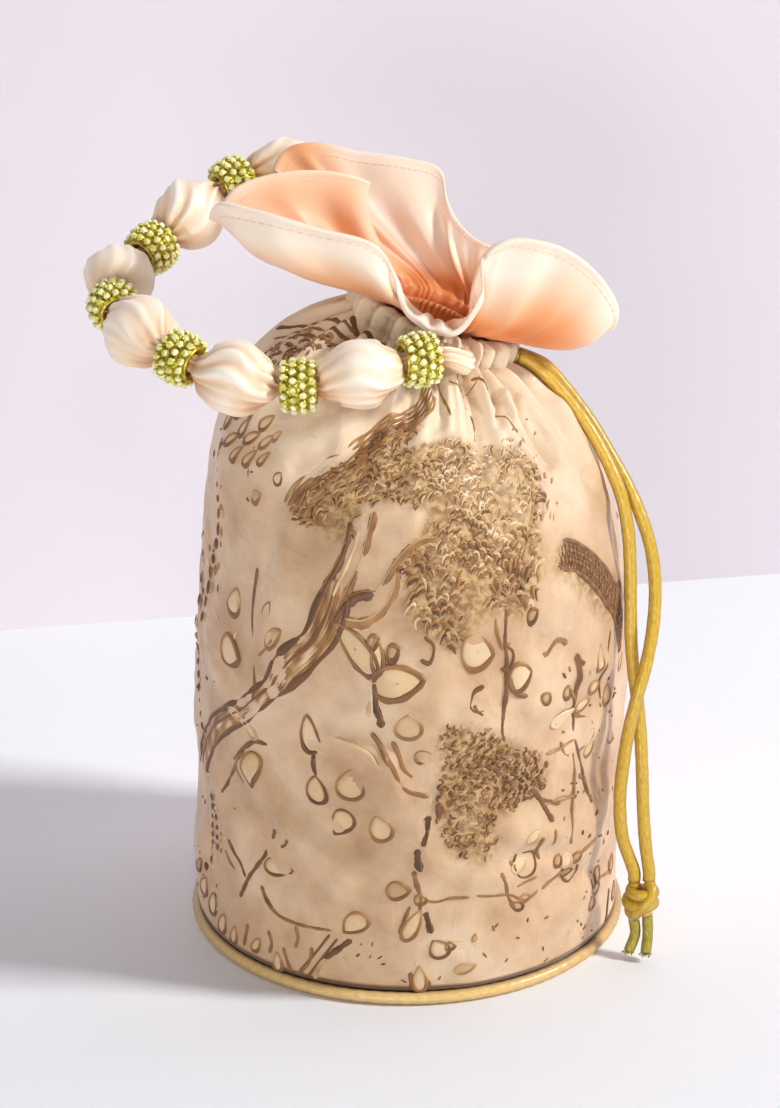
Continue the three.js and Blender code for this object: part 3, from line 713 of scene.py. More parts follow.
# The embroidery's clouds of small stitches: corners across and up.
foliage_clouds = {
    "left lobe": [
        (-44, 136), (-41, 144), (-34, 151), (-27, 156), (-22, 163), (-15, 168), (-6, 172), (-2, 168),
        (-8, 161), (-16, 157), (-22, 151), (-20, 142), (-20, 134), (-24, 131), (-31, 134), (-38, 135),
    ],
    "crown": [
        (-23, 151), (-14, 158), (-2, 162), (10, 164), (22, 160), (33, 157), (43, 154), (50, 147),
        (51, 139), (46, 133), (43, 127), (45, 123), (39, 118), (33, 113), (28, 115), (22, 116),
        (15, 110), (8, 109), (3, 113), (-3, 117), (-2, 123), (-7, 127), (-1, 133), (3, 140),
        (-4, 143), (-14, 143), (-22, 143),
    ],
    "bush": [
        (7, 88), (9, 92), (14, 93), (22, 89), (27, 86), (33, 82), (41, 77), (45, 69),
        (41, 62), (35, 63), (31, 59), (25, 58), (27, 51), (24, 44), (13, 48), (8, 58),
        (6, 65), (8, 71), (9, 78),
    ],
    "brush": [
        (48, 122), (52, 127), (58, 126), (64, 120), (71, 117), (79, 113), (90, 110), (95, 106),
        (87, 104), (77, 106), (67, 109), (58, 115), (52, 119),
    ],
}


def inside_outline(across, up, outline):
    inside = np.zeros(np.shape(across), bool)
    corners = np.array(outline, float)
    for (x1, y1), (x2, y2) in zip(corners, np.roll(corners, -1, axis=0)):
        if y1 == y2:
            continue
        crosses = ((y1 > up) != (y2 > up)) & (across < (x2 - x1) * (up - y1) / (y2 - y1) + x1)
        inside ^= crosses
    return inside


def stitched_ground(turn, rise):
    """1 under the clouds of stitches, falling softly to 0 round them."""
    across, up = (turn + math.pi / 2) * cloth_radius, rise * 100
    across = (across + half_girth / 2) % half_girth - half_girth / 2
    share = 0
    for outline in foliage_clouds.values():
        for shift in ((0, 0), (2, 0), (-2, 0), (0, 2), (0, -2), (1.2, 1.2), (-1.2, -1.2)):
            share = share + inside_outline(across + shift[0], up + shift[1], outline) / 7
    return np.clip(share, 0, 1)


wall_columns = 384
wall_turns = full_turn(wall_columns)
wall_rises = graded((0, 1, 70), (1, 1.9, 82), (1.9, 2, 10), (2, 3, 9), (3, 4, 8))
inner_rises = np.array([4, 3.6, 3.2, 3, 2.5, 2, 1.9, 1.75, 1.6, 1.45, 1.3, 1.15, 1, 0.66, 0.33, 0])
turn_grid, rise_grid = np.meshgrid(wall_turns, wall_rises)
outside = cloth_place(turn_grid, rise_grid, 0 * rise_grid)
tucked_in = 0.0007 * np.exp(-((wall_rises / 0.012) ** 2))
level_outward = np.stack([np.cos(turn_grid), np.sin(turn_grid), 0 * turn_grid], -1)
outside = outside - level_outward * tucked_in[:, None, None]
hem_turn, hem_rise = np.meshgrid(wall_turns, [0.0])
hem = cloth_place(hem_turn, hem_rise, 0 * hem_rise - 0.0012) - upright * 0.0002
inner_turn, inner_rise = np.meshgrid(wall_turns, inner_rises)
inner_height = slack(inner_turn, inner_rise) + gathers(inner_turn, inner_rise) - 0.0015
inside = at_height(inner_turn, inner_rise, wall_fit, 4, inner_height)
wall_shape = np.concatenate([hem, outside, inside])
wall_along = np.concatenate([[-0.0007], wall_rises * 0.1, inner_rises * 0.1])
# Painted shade: the hollows between the gathers near the neck are tinted towards the brown of the stitched
# ground.
hollows = 0.6 * painted_pleat_shade(turn_grid, rise_grid)
stitched_share_and_pleat_shade = np.maximum(stitched_ground(turn_grid, rise_grid), hollows)
stitched_ground_and_pleat_shade = np.concatenate([0 * hem_rise, stitched_share_and_pleat_shade, 0 * inner_rise])

tan_brocade, tree, shader = new_finish("tan embroidered cloth")
cloth, spot = over_cloth(tree), over_piece(tree)
blotch = clouds(tree, spot, 42, 4, {"Roughness": 0.55})
tans = [(0.3, dyed(190, 148, 106)), (0.5, dyed(214, 176, 136)), (0.72, dyed(232, 202, 168))]
up_cloth = add_node(tree, "SeparateXYZ", {0: cloth}).outputs[1]
# Painted light: the cloth is made pale cream over the top of the shoulder towards the neck.
above = add_node(tree, "MapRange", {0: up_cloth, "From Min": 0.13, "From Max": 0.175, "To Max": 0.85})
tans_with_painted_top_light = blend(tree, above.outputs[0], colour_steps(tree, blotch, tans), dyed(246, 226, 196))
speckle = clouds(tree, spot, 460, 3, {"Roughness": 0.6})
worked = colour_steps(tree, speckle, [(0.4, dyed(136, 92, 44)), (0.62, dyed(206, 166, 106))])
# This attribute carries the stitched ground under the embroidery and the painted shade in the pleats.
under = add_node(tree, "Attribute", attribute_name="stitched_ground_and_pleat_shade").outputs["Fac"]
mixed = blend(tree, sums(tree, "MULTIPLY", under, 0.85), tans_with_painted_top_light, worked)
# Painted shade: a dark brown band just above the piping, where the seam's crevice lies in shade.
seam_shade_range = {"From Min": 0.0014, "From Max": 0.0024, "To Min": 0.95, "To Max": 0}
painted_seam_shade = add_node(tree, "MapRange", {0: up_cloth, **seam_shade_range}).outputs[0]
threads = place_weave(tree, cloth, 480)
relief = sums(tree, "MULTIPLY_ADD", threads["Slub"], 0.6, threads["Height"])
crumple = clouds(tree, spot, 75, 2.5, {"Roughness": 0.5, "Distortion": 1.4})
bump = raised(tree, relief, 0.3, 0.0002, raised(tree, crumple, 0.6, 0.0016))
tint = blend(tree, painted_seam_shade, mixed, dyed(104, 70, 34))
plug(shader, {"Base Color": tint, "Normal": bump, "Roughness": 0.5, "Sheen Weight": 0.3})

wall = sewn_piece(
    "wall",
    wall_shape,
    tan_brocade,
    wall_along,
    np.linspace(0, foot_girth, wall_columns + 1),
    ends="joined",
    shades={"stitched_ground_and_pleat_shade": stitched_ground_and_pleat_shade},
)
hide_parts("outer_panel")
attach(wall, "pouch")

# Embroidery
# A branching tree, leaves, small flowers and clouds of foliage are worked in brown, gold and
# cream rayon thread through the wall's cloth. The pattern comes twice round the pouch.
thread_colour, tree, shader = new_finish("embroidery thread")
thread_tones = [
    (0.0, dyed(74, 44, 14)),
    (0.25, dyed(124, 78, 38)),
    (0.5, dyed(170, 122, 66)),
    (0.75, dyed(222, 186, 138)),
    (1.0, dyed(248, 230, 202)),
]
shade = add_node(tree, "Attribute", attribute_name="shade").outputs["Fac"]
strands_of_thread = clouds(tree, over_piece(tree), 1600, 2)
bump = raised(tree, strands_of_thread, 0.5, 0.0002)
tint = colour_steps(tree, shade, thread_tones)
plug(shader, {"Base Color": tint, "Normal": bump, "Roughness": 0.45, "Sheen Weight": 0.15})


def beside(line):
    """Unit steps to the left of each place on a line."""
    heading = np.gradient(line, axis=0)
    if np.allclose(line[0], line[-1]):
        heading[0] = heading[-1] = line[1] - line[-2]
    heading /= np.linalg.norm(heading, axis=1)[:, None].clip(1e-6)
    return np.stack([-heading[:, 1], heading[:, 0]], 1)


class Hoop:
    """Collects stitches that share one piece, each a low rounded rib that follows the cloth."""

    def __init__(self):
        self.spots, self.lifts, self.shades, self.faces = [], [], [], []
        self.count = 0

    def take(self, spots, lifts, shades, faces):
        self.spots.append(spots)
        self.lifts.append(lifts)
        self.shades.append(np.clip(shades, 0, 1))
        self.faces += (faces + self.count).tolist()
        self.count += len(spots)

    def rib(self, line, width, height, shade):
        """One line of stitches, given by its places across and up in millimetres."""
        profile = [(-1, -0.25), (-0.7, 0.7), (0, 1), (0.7, 0.7), (1, -0.25)]
        taper = np.ones(len(line))
        if not np.allclose(line[0], line[-1]):
            taper[0] = taper[-1] = 0.35
        aside = beside(line) * (taper * width / 2)[:, None]
        spots = np.concatenate([line + aside * offset for offset, _ in profile])
        lifts = np.concatenate([taper * height * level for _, level in profile])
        shades = np.tile(np.broadcast_to(shade, len(line)), len(profile))
        faces = grid_faces(len(profile), len(line), False, False)[0]
        self.take(spots, lifts, shades, faces[:, ::-1])

    def patch(self, outline, height, shade):
        """A filled leaf or petal of satin stitch, highest in its middle."""
        middle = outline.mean(axis=0)
        rings = [middle + (outline - middle) * share for share in (0.96, 0.8, 0.45, 0.04)]
        lifts = np.repeat([-0.1, 0.7, 0.95, 1], len(outline)) * height
        shades = np.repeat([shade - 0.16, shade - 0.03, shade, shade], len(outline))
        faces = grid_faces(4, len(outline), True, False)[0]
        self.take(np.concatenate(rings), lifts, shades, faces)

    def piece(self, name, offset):
        spots = np.concatenate(self.spots)
        turn = -math.pi / 2 + (spots[:, 0] + offset) / cloth_radius
        places = cloth_place(turn, spots[:, 1] / 100, np.concatenate(self.lifts) * 0.001)
        return mesh_piece(name, places, self.faces, thread_colour, {"shade": np.concatenate(self.shades)})


chance = np.random.default_rng(7)
tree_hoop = Hoop()

# Tree
# Its trunk is filled with long stitches between two dark outlines, with pale gaps, and forks
# into three boughs that run into the crown.
trunk_upper = [
    (-88, 58), (-83, 70), (-76, 78), (-68, 84), (-60, 90), (-50, 98.5), (-42, 106), (-33, 111.5),
    (-29, 118), (-26, 124),
]
trunk_lower = [
    (-84, 54), (-77, 65), (-68, 75), (-56, 83.5), (-47, 92.5), (-38.5, 100), (-30, 105),
    (-23, 110.5), (-20.5, 115.5), (-20.5, 121),
]
walk = np.linspace(0, 1, 96)


def evenly_placed(points):
    line = smooth_line(points, 1.0)
    return np.stack([np.interp(walk, np.linspace(0, 1, len(line)), column) for column in line.T], 1)


upper, lower = evenly_placed(trunk_upper), evenly_placed(trunk_lower)
for number, share in enumerate(np.linspace(0.1, 0.9, 8)):
    between = upper * (1 - share) + lower * share
    between = between + 0.18 * np.sin(walk[:, None] * 40 + 2.3 * number)
    mottled = 0.46 + 0.14 * np.sin(walk * 31 + 1.7 * number) + 0.1 * np.sin(walk * 83 + number)
    gap = np.exp(-(((share - 0.62) / 0.2) ** 2)) * (np.sin(walk * 26) > 0.2)
    tree_hoop.rib(between, 1.25, 0.32, mottled + 0.2 * gap)
wander = 0.3 * np.sin(walk[:, None] * 47)
tree_hoop.rib(upper + wander, 2.1 + 0.5 * np.sin(walk * 36), 0.5, 0.13)
tree_hoop.rib(lower + wander, 1.7 + 0.5 * np.sin(walk * 29), 0.5, 0.2)
tree_hoop.rib(0.6 * upper + 0.4 * lower - wander, 1.2 + 0.4 * np.sin(walk * 24), 0.45, 0.26)

# Branches and stems: thickness, shade of the thread, then the points.
branches = [
    (2.6, 0.22, [(-28, 119), (-26, 123), (-23.5, 127.5), (-22.5, 131), (-22, 137)]),
    (2.6, 0.36, [(-21.5, 118), (-19.5, 122), (-17, 127), (-15.5, 133), (-14.5, 140)]),
    (1.3, 0.75, [(-25, 119), (-22.5, 124), (-20, 130), (-18.5, 136)]),
    (2.8, 0.18, [(-24, 114), (-20, 118.5), (-16, 120.2), (-11, 120.4)]),
    (2.2, 0.4, [(-12, 120.5), (-9, 123.5), (-6.5, 127), (-3, 130.5), (1, 132.5), (6, 133)]),
    (2.2, 0.46, [(-21, 114.5), (-15, 114.5), (-9.5, 117), (-6, 121.5), (-5.5, 126)]),
    (1.5, 0.42, [(-22, 131), (-26, 134), (-31, 135), (-37, 136)]),
    (1.5, 0.25, [(-55, 121), (-54.5, 114), (-53.5, 107), (-53, 101), (-53, 96), (-54, 91)]),
    (1.3, 0.4, [(-53.5, 107), (-50.5, 109.5), (-47, 113)]),
    (1.2, 0.45, [(-54, 103), (-49, 105), (-44, 108.5)]),
    (1.6, 0.24, [(-72, 52), (-66, 62), (-62, 66)]),
    (1.7, 0.26, [(-63, 68), (-60, 70.5), (-57.5, 74), (-53, 77.5), (-48, 78)]),
    (1.4, 0.4, [(-60, 60), (-62, 66), (-57, 73)]),
    (1.5, 0.24, [(28.5, 116), (28, 110), (29, 105.5), (28.8, 101), (28, 96), (27.5, 89), (28.5, 84)]),
    (1.3, 0.4, [(24.5, 115), (25.5, 111), (27.5, 108)]),
    (1.3, 0.42, [(28, 108.5), (31, 109.5), (35, 110.5)]),
    (1.5, 0.3, [(29.5, 103), (32, 99.5), (36, 98)]),
    (1.5, 0.28, [(18, 99), (19, 96.5), (21.5, 94.5)]),
    (1.6, 0.25, [(57.5, 103), (56.5, 96), (55.3, 90), (57, 85), (57.5, 80), (60, 71), (62.5, 62)]),
    (1.5, 0.3, [(62.5, 62), (64.5, 57), (67, 51)]),
    (1.3, 0.36, [(57, 85), (60, 83.5), (64, 82)]),
    (1.3, 0.4, [(53, 95.5), (54.5, 93), (55.3, 90)]),
    (1.4, 0.38, [(50.5, 78), (52, 73.5), (55, 71.5)]),
    (1.3, 0.4, [(60, 71), (64, 72), (67, 75)]),
    (1.3, 0.4, [(40, 106), (44, 105), (48, 107), (53, 105.5)]),
    (1.3, 0.4, [(83, 112), (82, 108), (82.5, 104)]),
    (1.8, 0.22, [(38, 66), (40.5, 63), (43, 59), (46.5, 52.5)]),
    (1.6, 0.28, [(41, 62), (45, 59.5), (50, 57)]),
    (2.3, 0.05, [(5.2, 61.5), (4.8, 57), (3.6, 51.5)]),
    (2.3, 0.1, [(2, 50.5), (2.2, 47), (2.8, 43)]),
    (1.6, 0.35, [(1, 43), (1.8, 39), (3.2, 34), (3, 29)]),
    (1.9, 0.2, [(8.5, 66), (8.3, 63), (8.6, 60)]),
    (1.2, 0.4, [(4, 33), (8, 32.2), (12, 33), (18, 32.7)]),
    (1.2, 0.4, [(20, 33), (25, 32), (31, 31), (36, 28), (42, 29)]),
    (1.2, 0.45, [(44, 28.5), (52, 32), (60, 37), (68, 38)]),
    (1.4, 0.35, [(27.5, 40), (29.5, 35.5), (31, 29.5), (33.5, 25.5)]),
    (1.3, 0.4, [(31.5, 42), (33.5, 39.5)]),
    (1.2, 0.45, [(33, 33), (37, 34), (41, 34.5)]),
    (1.5, 0.34, [(41.5, 49), (41.2, 44), (43, 39.5)]),
    (1.3, 0.4, [(46.5, 50), (46.8, 44)]),
    (1.4, 0.38, [(57, 72), (56.5, 64), (55.5, 55), (55, 44), (55.5, 41)]),
    (1.2, 0.5, [(44, 76), (52, 76), (60, 76)]),
    (1.2, 0.5, [(42, 59), (50, 58.5), (56, 58)]),
    (1.7, 0.2, [(-45.5, 49), (-47, 45), (-48.7, 42), (-50, 38), (-53, 33), (-56.5, 27.5), (-60, 20)]),
    (1.6, 0.24, [(-39.5, 47.5), (-42, 44), (-45, 42), (-48.5, 40)]),
    (1.9, 0.26, [(-67, 38), (-63.5, 34.5), (-60, 32), (-57.5, 28)]),
    (1.2, 0.5, [(-69, 33), (-66, 30), (-63, 28.5)]),
    (1.6, 0.26, [(-50, 28), (-48, 24), (-45, 21)]),
    (1.3, 0.42, [(-47, 22), (-42, 19.5), (-36, 18.8), (-30, 19), (-24, 19.5)]),
    (1.3, 0.42, [(-36.5, 18), (-35.5, 14), (-36.5, 10)]),
    (1.4, 0.36, [(-30.5, 12), (-31, 8), (-34.5, 1.5)]),
    (1.4, 0.36, [(-47, 13), (-45.5, 9), (-46.5, 5)]),
    (1.4, 0.36, [(-41, 9), (-39.5, 5), (-38, 1.5)]),
    (1.4, 0.36, [(-56, 12), (-57, 7), (-58, 3)]),
    (2.1, 0.14, [(-17.5, 17.5), (-20, 15), (-23, 12), (-26, 9)]),
    (2.1, 0.6, [(-26, 9), (-28.5, 5), (-29.5, 1)]),
    (2.3, 0.1, [(-11.5, 103.5), (-10.6, 100), (-9.3, 95), (-9.3, 92)]),
    (2.6, 0.7, [(-13, 105), (-12.5, 100), (-12, 96)]),
    (1.8, 0.14, [(-31, 79), (-30.5, 75), (-29.5, 72)]),
    (1.4, 0.3, [(-3, 21), (-1.5, 26), (0.2, 31)]),
    (2.2, 0.1, [(4.6, 29), (5.6, 25), (6.6, 21)]),
    (1.4, 0.24, [(6, 4), (6.5, 1)]),
    (1.4, 0.28, [(0.5, 7), (1, 1)]),
    (1.6, 0.14, [(84, 12), (82, 6), (80.5, 1)]),
    (1.2, 0.45, [(66, 19), (74, 20), (84, 18)]),
]
for width, shade_of, points in branches:
    line = smooth_line(np.array(points, float), 0.9)
    walk = lengths_along(line)
    uneven = width * (1 + 0.16 * np.sin(walk * 1.1 + width * 9) + 0.1 * np.sin(walk * 2.7))
    tree_hoop.rib(line, uneven, 0.45, shade_of + 0.05 * np.sin(walk * 0.9))
    if width > 2.15:
        tree_hoop.rib(line + beside(line) * 0.3 * width, 0.5, 0.6, shade_of + 0.22)

# Leaves, petals and buds
# Each is a pale satin-stitched shape inside an outline that is thick on its lower side, and darker there as
# painted shade.
# Middle across and up, half length, half width, lean in degrees, shade of edge and filling.
leaves = [
    (-32, 86, 6.8, 3.0, 92, 0.2, 0.97),
    (-53.5, 68, 5.6, 3.0, 276, 0.3, 0.84),
    (-30, 67, 5.0, 3.6, 90, 0.16, 0.8),
    (-21.5, 57, 4.8, 3.6, 242, 0.18, 0.86),
    (-9.2, 57, 4.4, 3.4, 110, 0.36, 0.84),
    (-18.5, 71, 5.2, 4.4, 80, 0.34, 0.72),
    (-17, 109.5, 8.0, 2.6, 146, 0.26, 0.8),
    (-4.5, 103.8, 7.6, 2.8, 2, 0.24, 0.82),
    (-10.6, 108.5, 3.4, 1.7, 100, 0.3, 0.86),
    (-6, 109, 1.7, 1.5, 20, 0.16, 0.2),
    (-11.8, 111, 1.5, 1.3, 20, 0.2, 0.3),
    (-1.2, 92.5, 4.4, 4.0, 90, 0.42, 0.72),
    (3.6, 82, 2.8, 2.2, 10, 0.26, 0.42),
    (19.5, 108.2, 5.0, 3.4, 350, 0.34, 0.95),
    (33.6, 102.6, 3.8, 2.4, 8, 0.26, 0.98),
    (37, 113.6, 1.7, 1.5, 30, 0.14, 0.2),
    (42.5, 96, 1.7, 1.5, 30, 0.24, 0.3),
    (36.8, 105.4, 1.5, 1.2, 0, 0.3, 0.32),
    (60.5, 87.5, 3.0, 1.8, 20, 0.4, 0.92),
    (51.5, 95, 1.9, 1.5, 60, 0.24, 0.3),
    (68, 100, 3.0, 2.0, 60, 0.34, 0.8),
    (66, 92, 2.6, 1.8, 10, 0.36, 0.74),
    (74, 86, 3.2, 2.0, 70, 0.36, 0.8),
    (66, 70, 3.0, 1.8, 40, 0.38, 0.76),
    (78, 70, 3.0, 1.8, 120, 0.38, 0.76),
    (51, 86.5, 5.4, 2.4, 8, 0.7, 0.98),
    (-65.5, 102, 4.8, 2.8, 355, 0.28, 0.98),
    (-65, 111.5, 3.8, 2.6, 190, 0.34, 0.94),
    (-44.5, 108.5, 3.4, 1.6, 30, 0.36, 0.5),
    (-47, 113.5, 2.0, 1.4, 60, 0.28, 0.34),
    (-50.5, 144, 1.9, 1.5, 60, 0.28, 0.34),
    (-59, 137, 2.1, 1.6, 30, 0.4, 0.46),
    (-56, 81, 4.4, 1.4, 150, 0.66, 0.97),
    (-63, 84, 3.6, 1.3, 165, 0.66, 0.94),
    (-44, 35.8, 5.4, 2.8, 4, 0.22, 0.96),
    (-16.5, 23.6, 5.0, 3.4, 228, 0.3, 0.84),
    (-3.5, 36, 3.4, 3.0, 0, 0.3, 0.4),
    (1, 24, 6.0, 2.2, 66, 0.36, 0.9),
    (9, 15.4, 3.4, 3.0, 120, 0.24, 0.97),
    (12.4, 16, 1.5, 1.3, 0, 0.26, 0.34),
    (3.3, 33, 1.9, 1.7, 0, 0.3, 0.44),
    (3.5, 4.5, 4.6, 2.0, 92, 0.42, 0.97),
    (13, 16.5, 3.6, 1.0, 8, 0.5, 0.94),
    (17, 8, 3.2, 1.6, 20, 0.5, 0.6),
    (33.5, 26.5, 2.6, 1.3, 150, 0.16, 0.3),
    (36.5, 28.5, 1.7, 1.4, 0, 0.36, 0.4),
    (50.2, 36.8, 1.9, 1.5, 60, 0.24, 0.3),
    (57.5, 36, 1.9, 1.5, 30, 0.24, 0.3),
    (54, 31.5, 2.2, 1.5, 0, 0.1, 0.16),
    (53.5, 36, 2.6, 1.8, 90, 0.66, 0.95),
    (38, 50, 2.4, 1.6, 40, 0.6, 0.9),
    (35, 40, 3.0, 1.8, 20, 0.66, 0.95),
    (20, 18, 1.7, 1.1, 80, 0.36, 0.3),
    (68, 14.5, 2.6, 2.0, 120, 0.3, 0.36),
    (74, 22, 3.0, 2.0, 30, 0.12, 0.18),
    (86, 20, 3.0, 1.8, 60, 0.2, 0.6),
    (90, 8, 3.0, 1.8, 60, 0.2, 0.8),
    (66, 75, 2.4, 1.6, 60, 0.34, 0.7),
    (-84, 13, 4.0, 2.6, 62, 0.3, 0.98),
    (-77, 10, 4.4, 2.6, 75, 0.26, 0.98),
    (-70, 6, 4.0, 2.2, 70, 0.3, 0.95),
    (-63, 5, 3.4, 1.6, 80, 0.34, 0.8),
    (-52, 6, 3.0, 1.5, 60, 0.36, 0.8),
    (-43, 3, 3.2, 1.6, 95, 0.4, 0.95),
    (-88, 19, 2.8, 1.8, 60, 0.2, 0.4),
    (-88, 150, 3.0, 1.6, 50, 0.26, 0.84),
    (-83, 155, 2.8, 1.5, 62, 0.26, 0.88),
    (-80, 147, 3.0, 1.5, 40, 0.28, 0.8),
    (-76, 152, 3.2, 1.5, 66, 0.3, 0.9),
    (-74, 158, 3.0, 1.6, 50, 0.34, 0.92),
    (-72, 145, 2.8, 1.4, 56, 0.3, 0.7),
    (-69, 151, 3.2, 1.5, 40, 0.3, 0.86),
    (-66, 157, 3.2, 1.5, 60, 0.36, 0.88),
    (-65, 146, 2.8, 1.4, 66, 0.34, 0.74),
    (-62, 152, 3.0, 1.4, 50, 0.4, 0.84),
    (-58, 155, 2.6, 1.3, 34, 0.44, 0.8),
    (-59, 147.5, 2.4, 1.3, 60, 0.36, 0.7),
    (-86, 143, 2.4, 1.4, 20, 0.22, 0.5),
    (-93, 158, 2.8, 1.6, 60, 0.3, 0.7),
    (96, 150, 2.8, 1.6, 60, 0.4, 0.85),
    (88, 92, 3.0, 1.8, 60, 0.36, 0.85),
    (95, 60, 3.2, 1.8, 110, 0.36, 0.9),
    (92, 40, 3.0, 1.7, 50, 0.36, 0.9),
]


def leaf_outline(across, up, half_length, half_width, lean):
    """A closed leaf, pointed towards its lean and round at the other end."""
    turn = full_turn(22)
    long = half_length * np.cos(turn)
    wide = 1.2 * half_width * np.sin(turn) * np.sin(turn / 2) ** 0.7
    tilt = math.radians(lean)
    across_of = across + long * math.cos(tilt) - wide * math.sin(tilt)
    up_of = up + long * math.sin(tilt) + wide * math.cos(tilt)
    return np.stack([across_of, up_of], 1)


def short_line(lean, half):
    return np.linspace(-half, half, 4)[:, None] * [math.cos(lean), math.sin(lean)]


leaf_hoop = Hoop()
for across, up, half_length, half_width, lean, edge, filling in leaves:
    outline = leaf_outline(across, up, half_length, half_width, lean)
    leaf_hoop.patch(outline, 0.36, 0.52 + 0.3 * filling)
    if half_width > 1.2:
        rim = smooth_line(np.vstack([outline, outline[:1]]), 0.8)
        away = (rim - [across, up]) / half_length
        # Painted shade: the outline is drawn thicker and darker on the leaf's lower side.
        heavy_shadow_side = np.clip(0.3 + 0.9 * (0.45 * away[:, 0] - away[:, 1]), 0, 1)
        uneven = 0.16 * np.sin(np.arange(len(rim)) * 0.9 + across)
        leaf_hoop.rib(rim, 0.85 + 0.8 * heavy_shadow_side + uneven, 0.5, edge - 0.05 + 0.24 * (1 - heavy_shadow_side))

# Two curved double lines near the middle, and the dark chains of dots at the left.
for points, width, shade_of in (
    ([(-12, 90), (-9.5, 86), (-6.5, 81), (-4, 75), (-1, 70.5), (5, 68)], 1.6, 0.34),
    ([(-6, 87), (-4, 83), (-2.5, 78), (0.5, 74.5)], 1.5, 0.4),
    ([(-23, 88), (-17, 86), (-12, 83), (-9, 78)], 1.2, 0.74),
):
    leaf_hoop.rib(smooth_line(points, 0.9), width, 0.45, shade_of)
for points, gap in (
    ([(-88, 143), (-84, 136), (-81, 128), (-81, 120), (-84, 112), (-88, 104)], 3.6),
    ([(-97, 118), (-96, 108), (-97, 96), (-95, 86), (-90, 76), (-86, 70)], 4.4),
    ([(-84, 52), (-81, 44), (-79, 36), (-80, 28), (-84, 20)], 3.0),
    ([(-78, 48), (-75, 40), (-74, 32)], 3.6),
):
    for place in smooth_line(points, gap):
        lean, half = chance.uniform(1.0, 2.2), chance.uniform(0.9, 1.6)
        reach = short_line(lean, half)
        leaf_hoop.rib(place + reach, chance.uniform(1.4, 2.2), 0.5, chance.uniform(0.06, 0.3))
        beyond = place + reach * 0.8 + [chance.uniform(2.0, 3.4), chance.uniform(-1.5, 1.5)]
        leaf_hoop.rib(beyond, chance.uniform(1.0, 1.6), 0.4, chance.uniform(0.4, 0.8))

# Specks, curls and small loops of thread between the leaves: corners of the area and how many.
speck_areas = [((50, 18), (86, 104), 70), ((-96, 4), (-62, 150), 80), ((-20, 2), (70, 22), 34)]
speck_shades = [0.14, 0.28, 0.4, 0.78]
for low, high, count in speck_areas:
    for place in chance.uniform(low, high, (count, 2)):
        speck = place + short_line(chance.uniform(0, 3.1), chance.uniform(0.4, 1.2))
        leaf_hoop.rib(speck, chance.uniform(0.5, 1.0), 0.35, chance.choice(speck_shades))
for points in (
    [(21.5, 102), (18, 101), (17, 98), (19, 96), (22, 96.5)],
    [(76.5, 104), (72, 99), (69, 92), (70, 86)],
    [(-22, 17), (-27, 9), (-32, 1)],
    [(-24.5, 18), (-29.5, 10), (-35, 2)],
    [(34, 44), (33, 40), (35, 36), (39, 36), (41, 39), (40, 43), (36, 44)],
    [(54, 33), (53.5, 29), (56, 27), (59, 29), (58, 33)],
    [(68, 23), (68, 19), (71, 16), (74, 18), (73.5, 22)],
    [(28, 109), (31, 107), (30, 104), (27, 104.5)],
    [(3, 112), (6, 110), (5, 107), (2, 107.5)],
):
    leaf_hoop.rib(smooth_line(points, 0.8), 0.95, 0.4, 0.24)


# Clouds of foliage
# Short pale stitches in wavy rows, each with a dark one below that paints the shadow under it, fill the
# crown of the tree.
# Curled dark stitches fill the bush, and a thick hatched brush stands at the right.
def dash(spot, lean, half, bow):
    walk = np.linspace(-1, 1, 5)[:, None]
    ahead = np.array([math.cos(lean), math.sin(lean)])
    above = np.array([-ahead[1], ahead[0]]) * (1 if ahead[0] > 0 else -1)
    return spot + ahead * walk * half + above * bow * (1 - walk**2), above


def foliage(hoop, outline, lean, row_step, step, tone_at):
    """Rows of small arched stitches that crinkle over each other, pale on top, with dark ones below as
    painted shadow.
    """
    corners = np.array(outline, float)
    low, high = corners.min(axis=0), corners.max(axis=0)
    for number, up in enumerate(np.arange(low[1], high[1], row_step)):
        for across in np.arange(low[0] + (number % 2) * step / 2, high[0], step):
            spot = np.array([across, up]) + chance.uniform(-0.8, 0.8, 2)
            spot[1] += 0.9 * math.sin(across * 0.55 + number * 2.1)
            if not inside_outline(spot[0], spot[1], outline):
                continue
            swirl = 0.5 * math.sin(across * 0.31 + up * 0.23)
            turn = math.radians(lean) + swirl + chance.uniform(-0.8, 0.8)
            half = chance.uniform(0.9, 1.7)
            tone = tone_at(across, up) + chance.uniform(-0.1, 0.1)
            line, above = dash(spot, turn, half, chance.uniform(0.2, 1.3))
            hoop.rib(line, chance.uniform(0.7, 1.1), 0.4, tone)
            # Painted shadow: a darker stitch just under most of the pale ones.
            if chance.random() < 0.8:
                below = line - above * chance.uniform(0.7, 1.1)
                hoop.rib(below, chance.uniform(0.5, 0.9), 0.3, tone - chance.uniform(0.18, 0.42))


def crown_tone(across, up):
    clump = math.sin(across * 0.34 + 1.8 * math.sin(up * 0.2))
    clump = clump * math.sin(up * 0.42 + 1.1 * math.sin(across * 0.21))
    return 0.56 + 0.2 * eased(up, 118, 150) * eased(across, -12, 14) + 0.18 * clump


def lobe_tone(across, up):
    # Darker towards the lobe's upper-left edge, partly painted shade of the fold that runs there.
    edge = min((up - 136) - 0.72 * (across + 44), 30)
    return 0.54 - 0.3 * eased(edge, 2, 9)


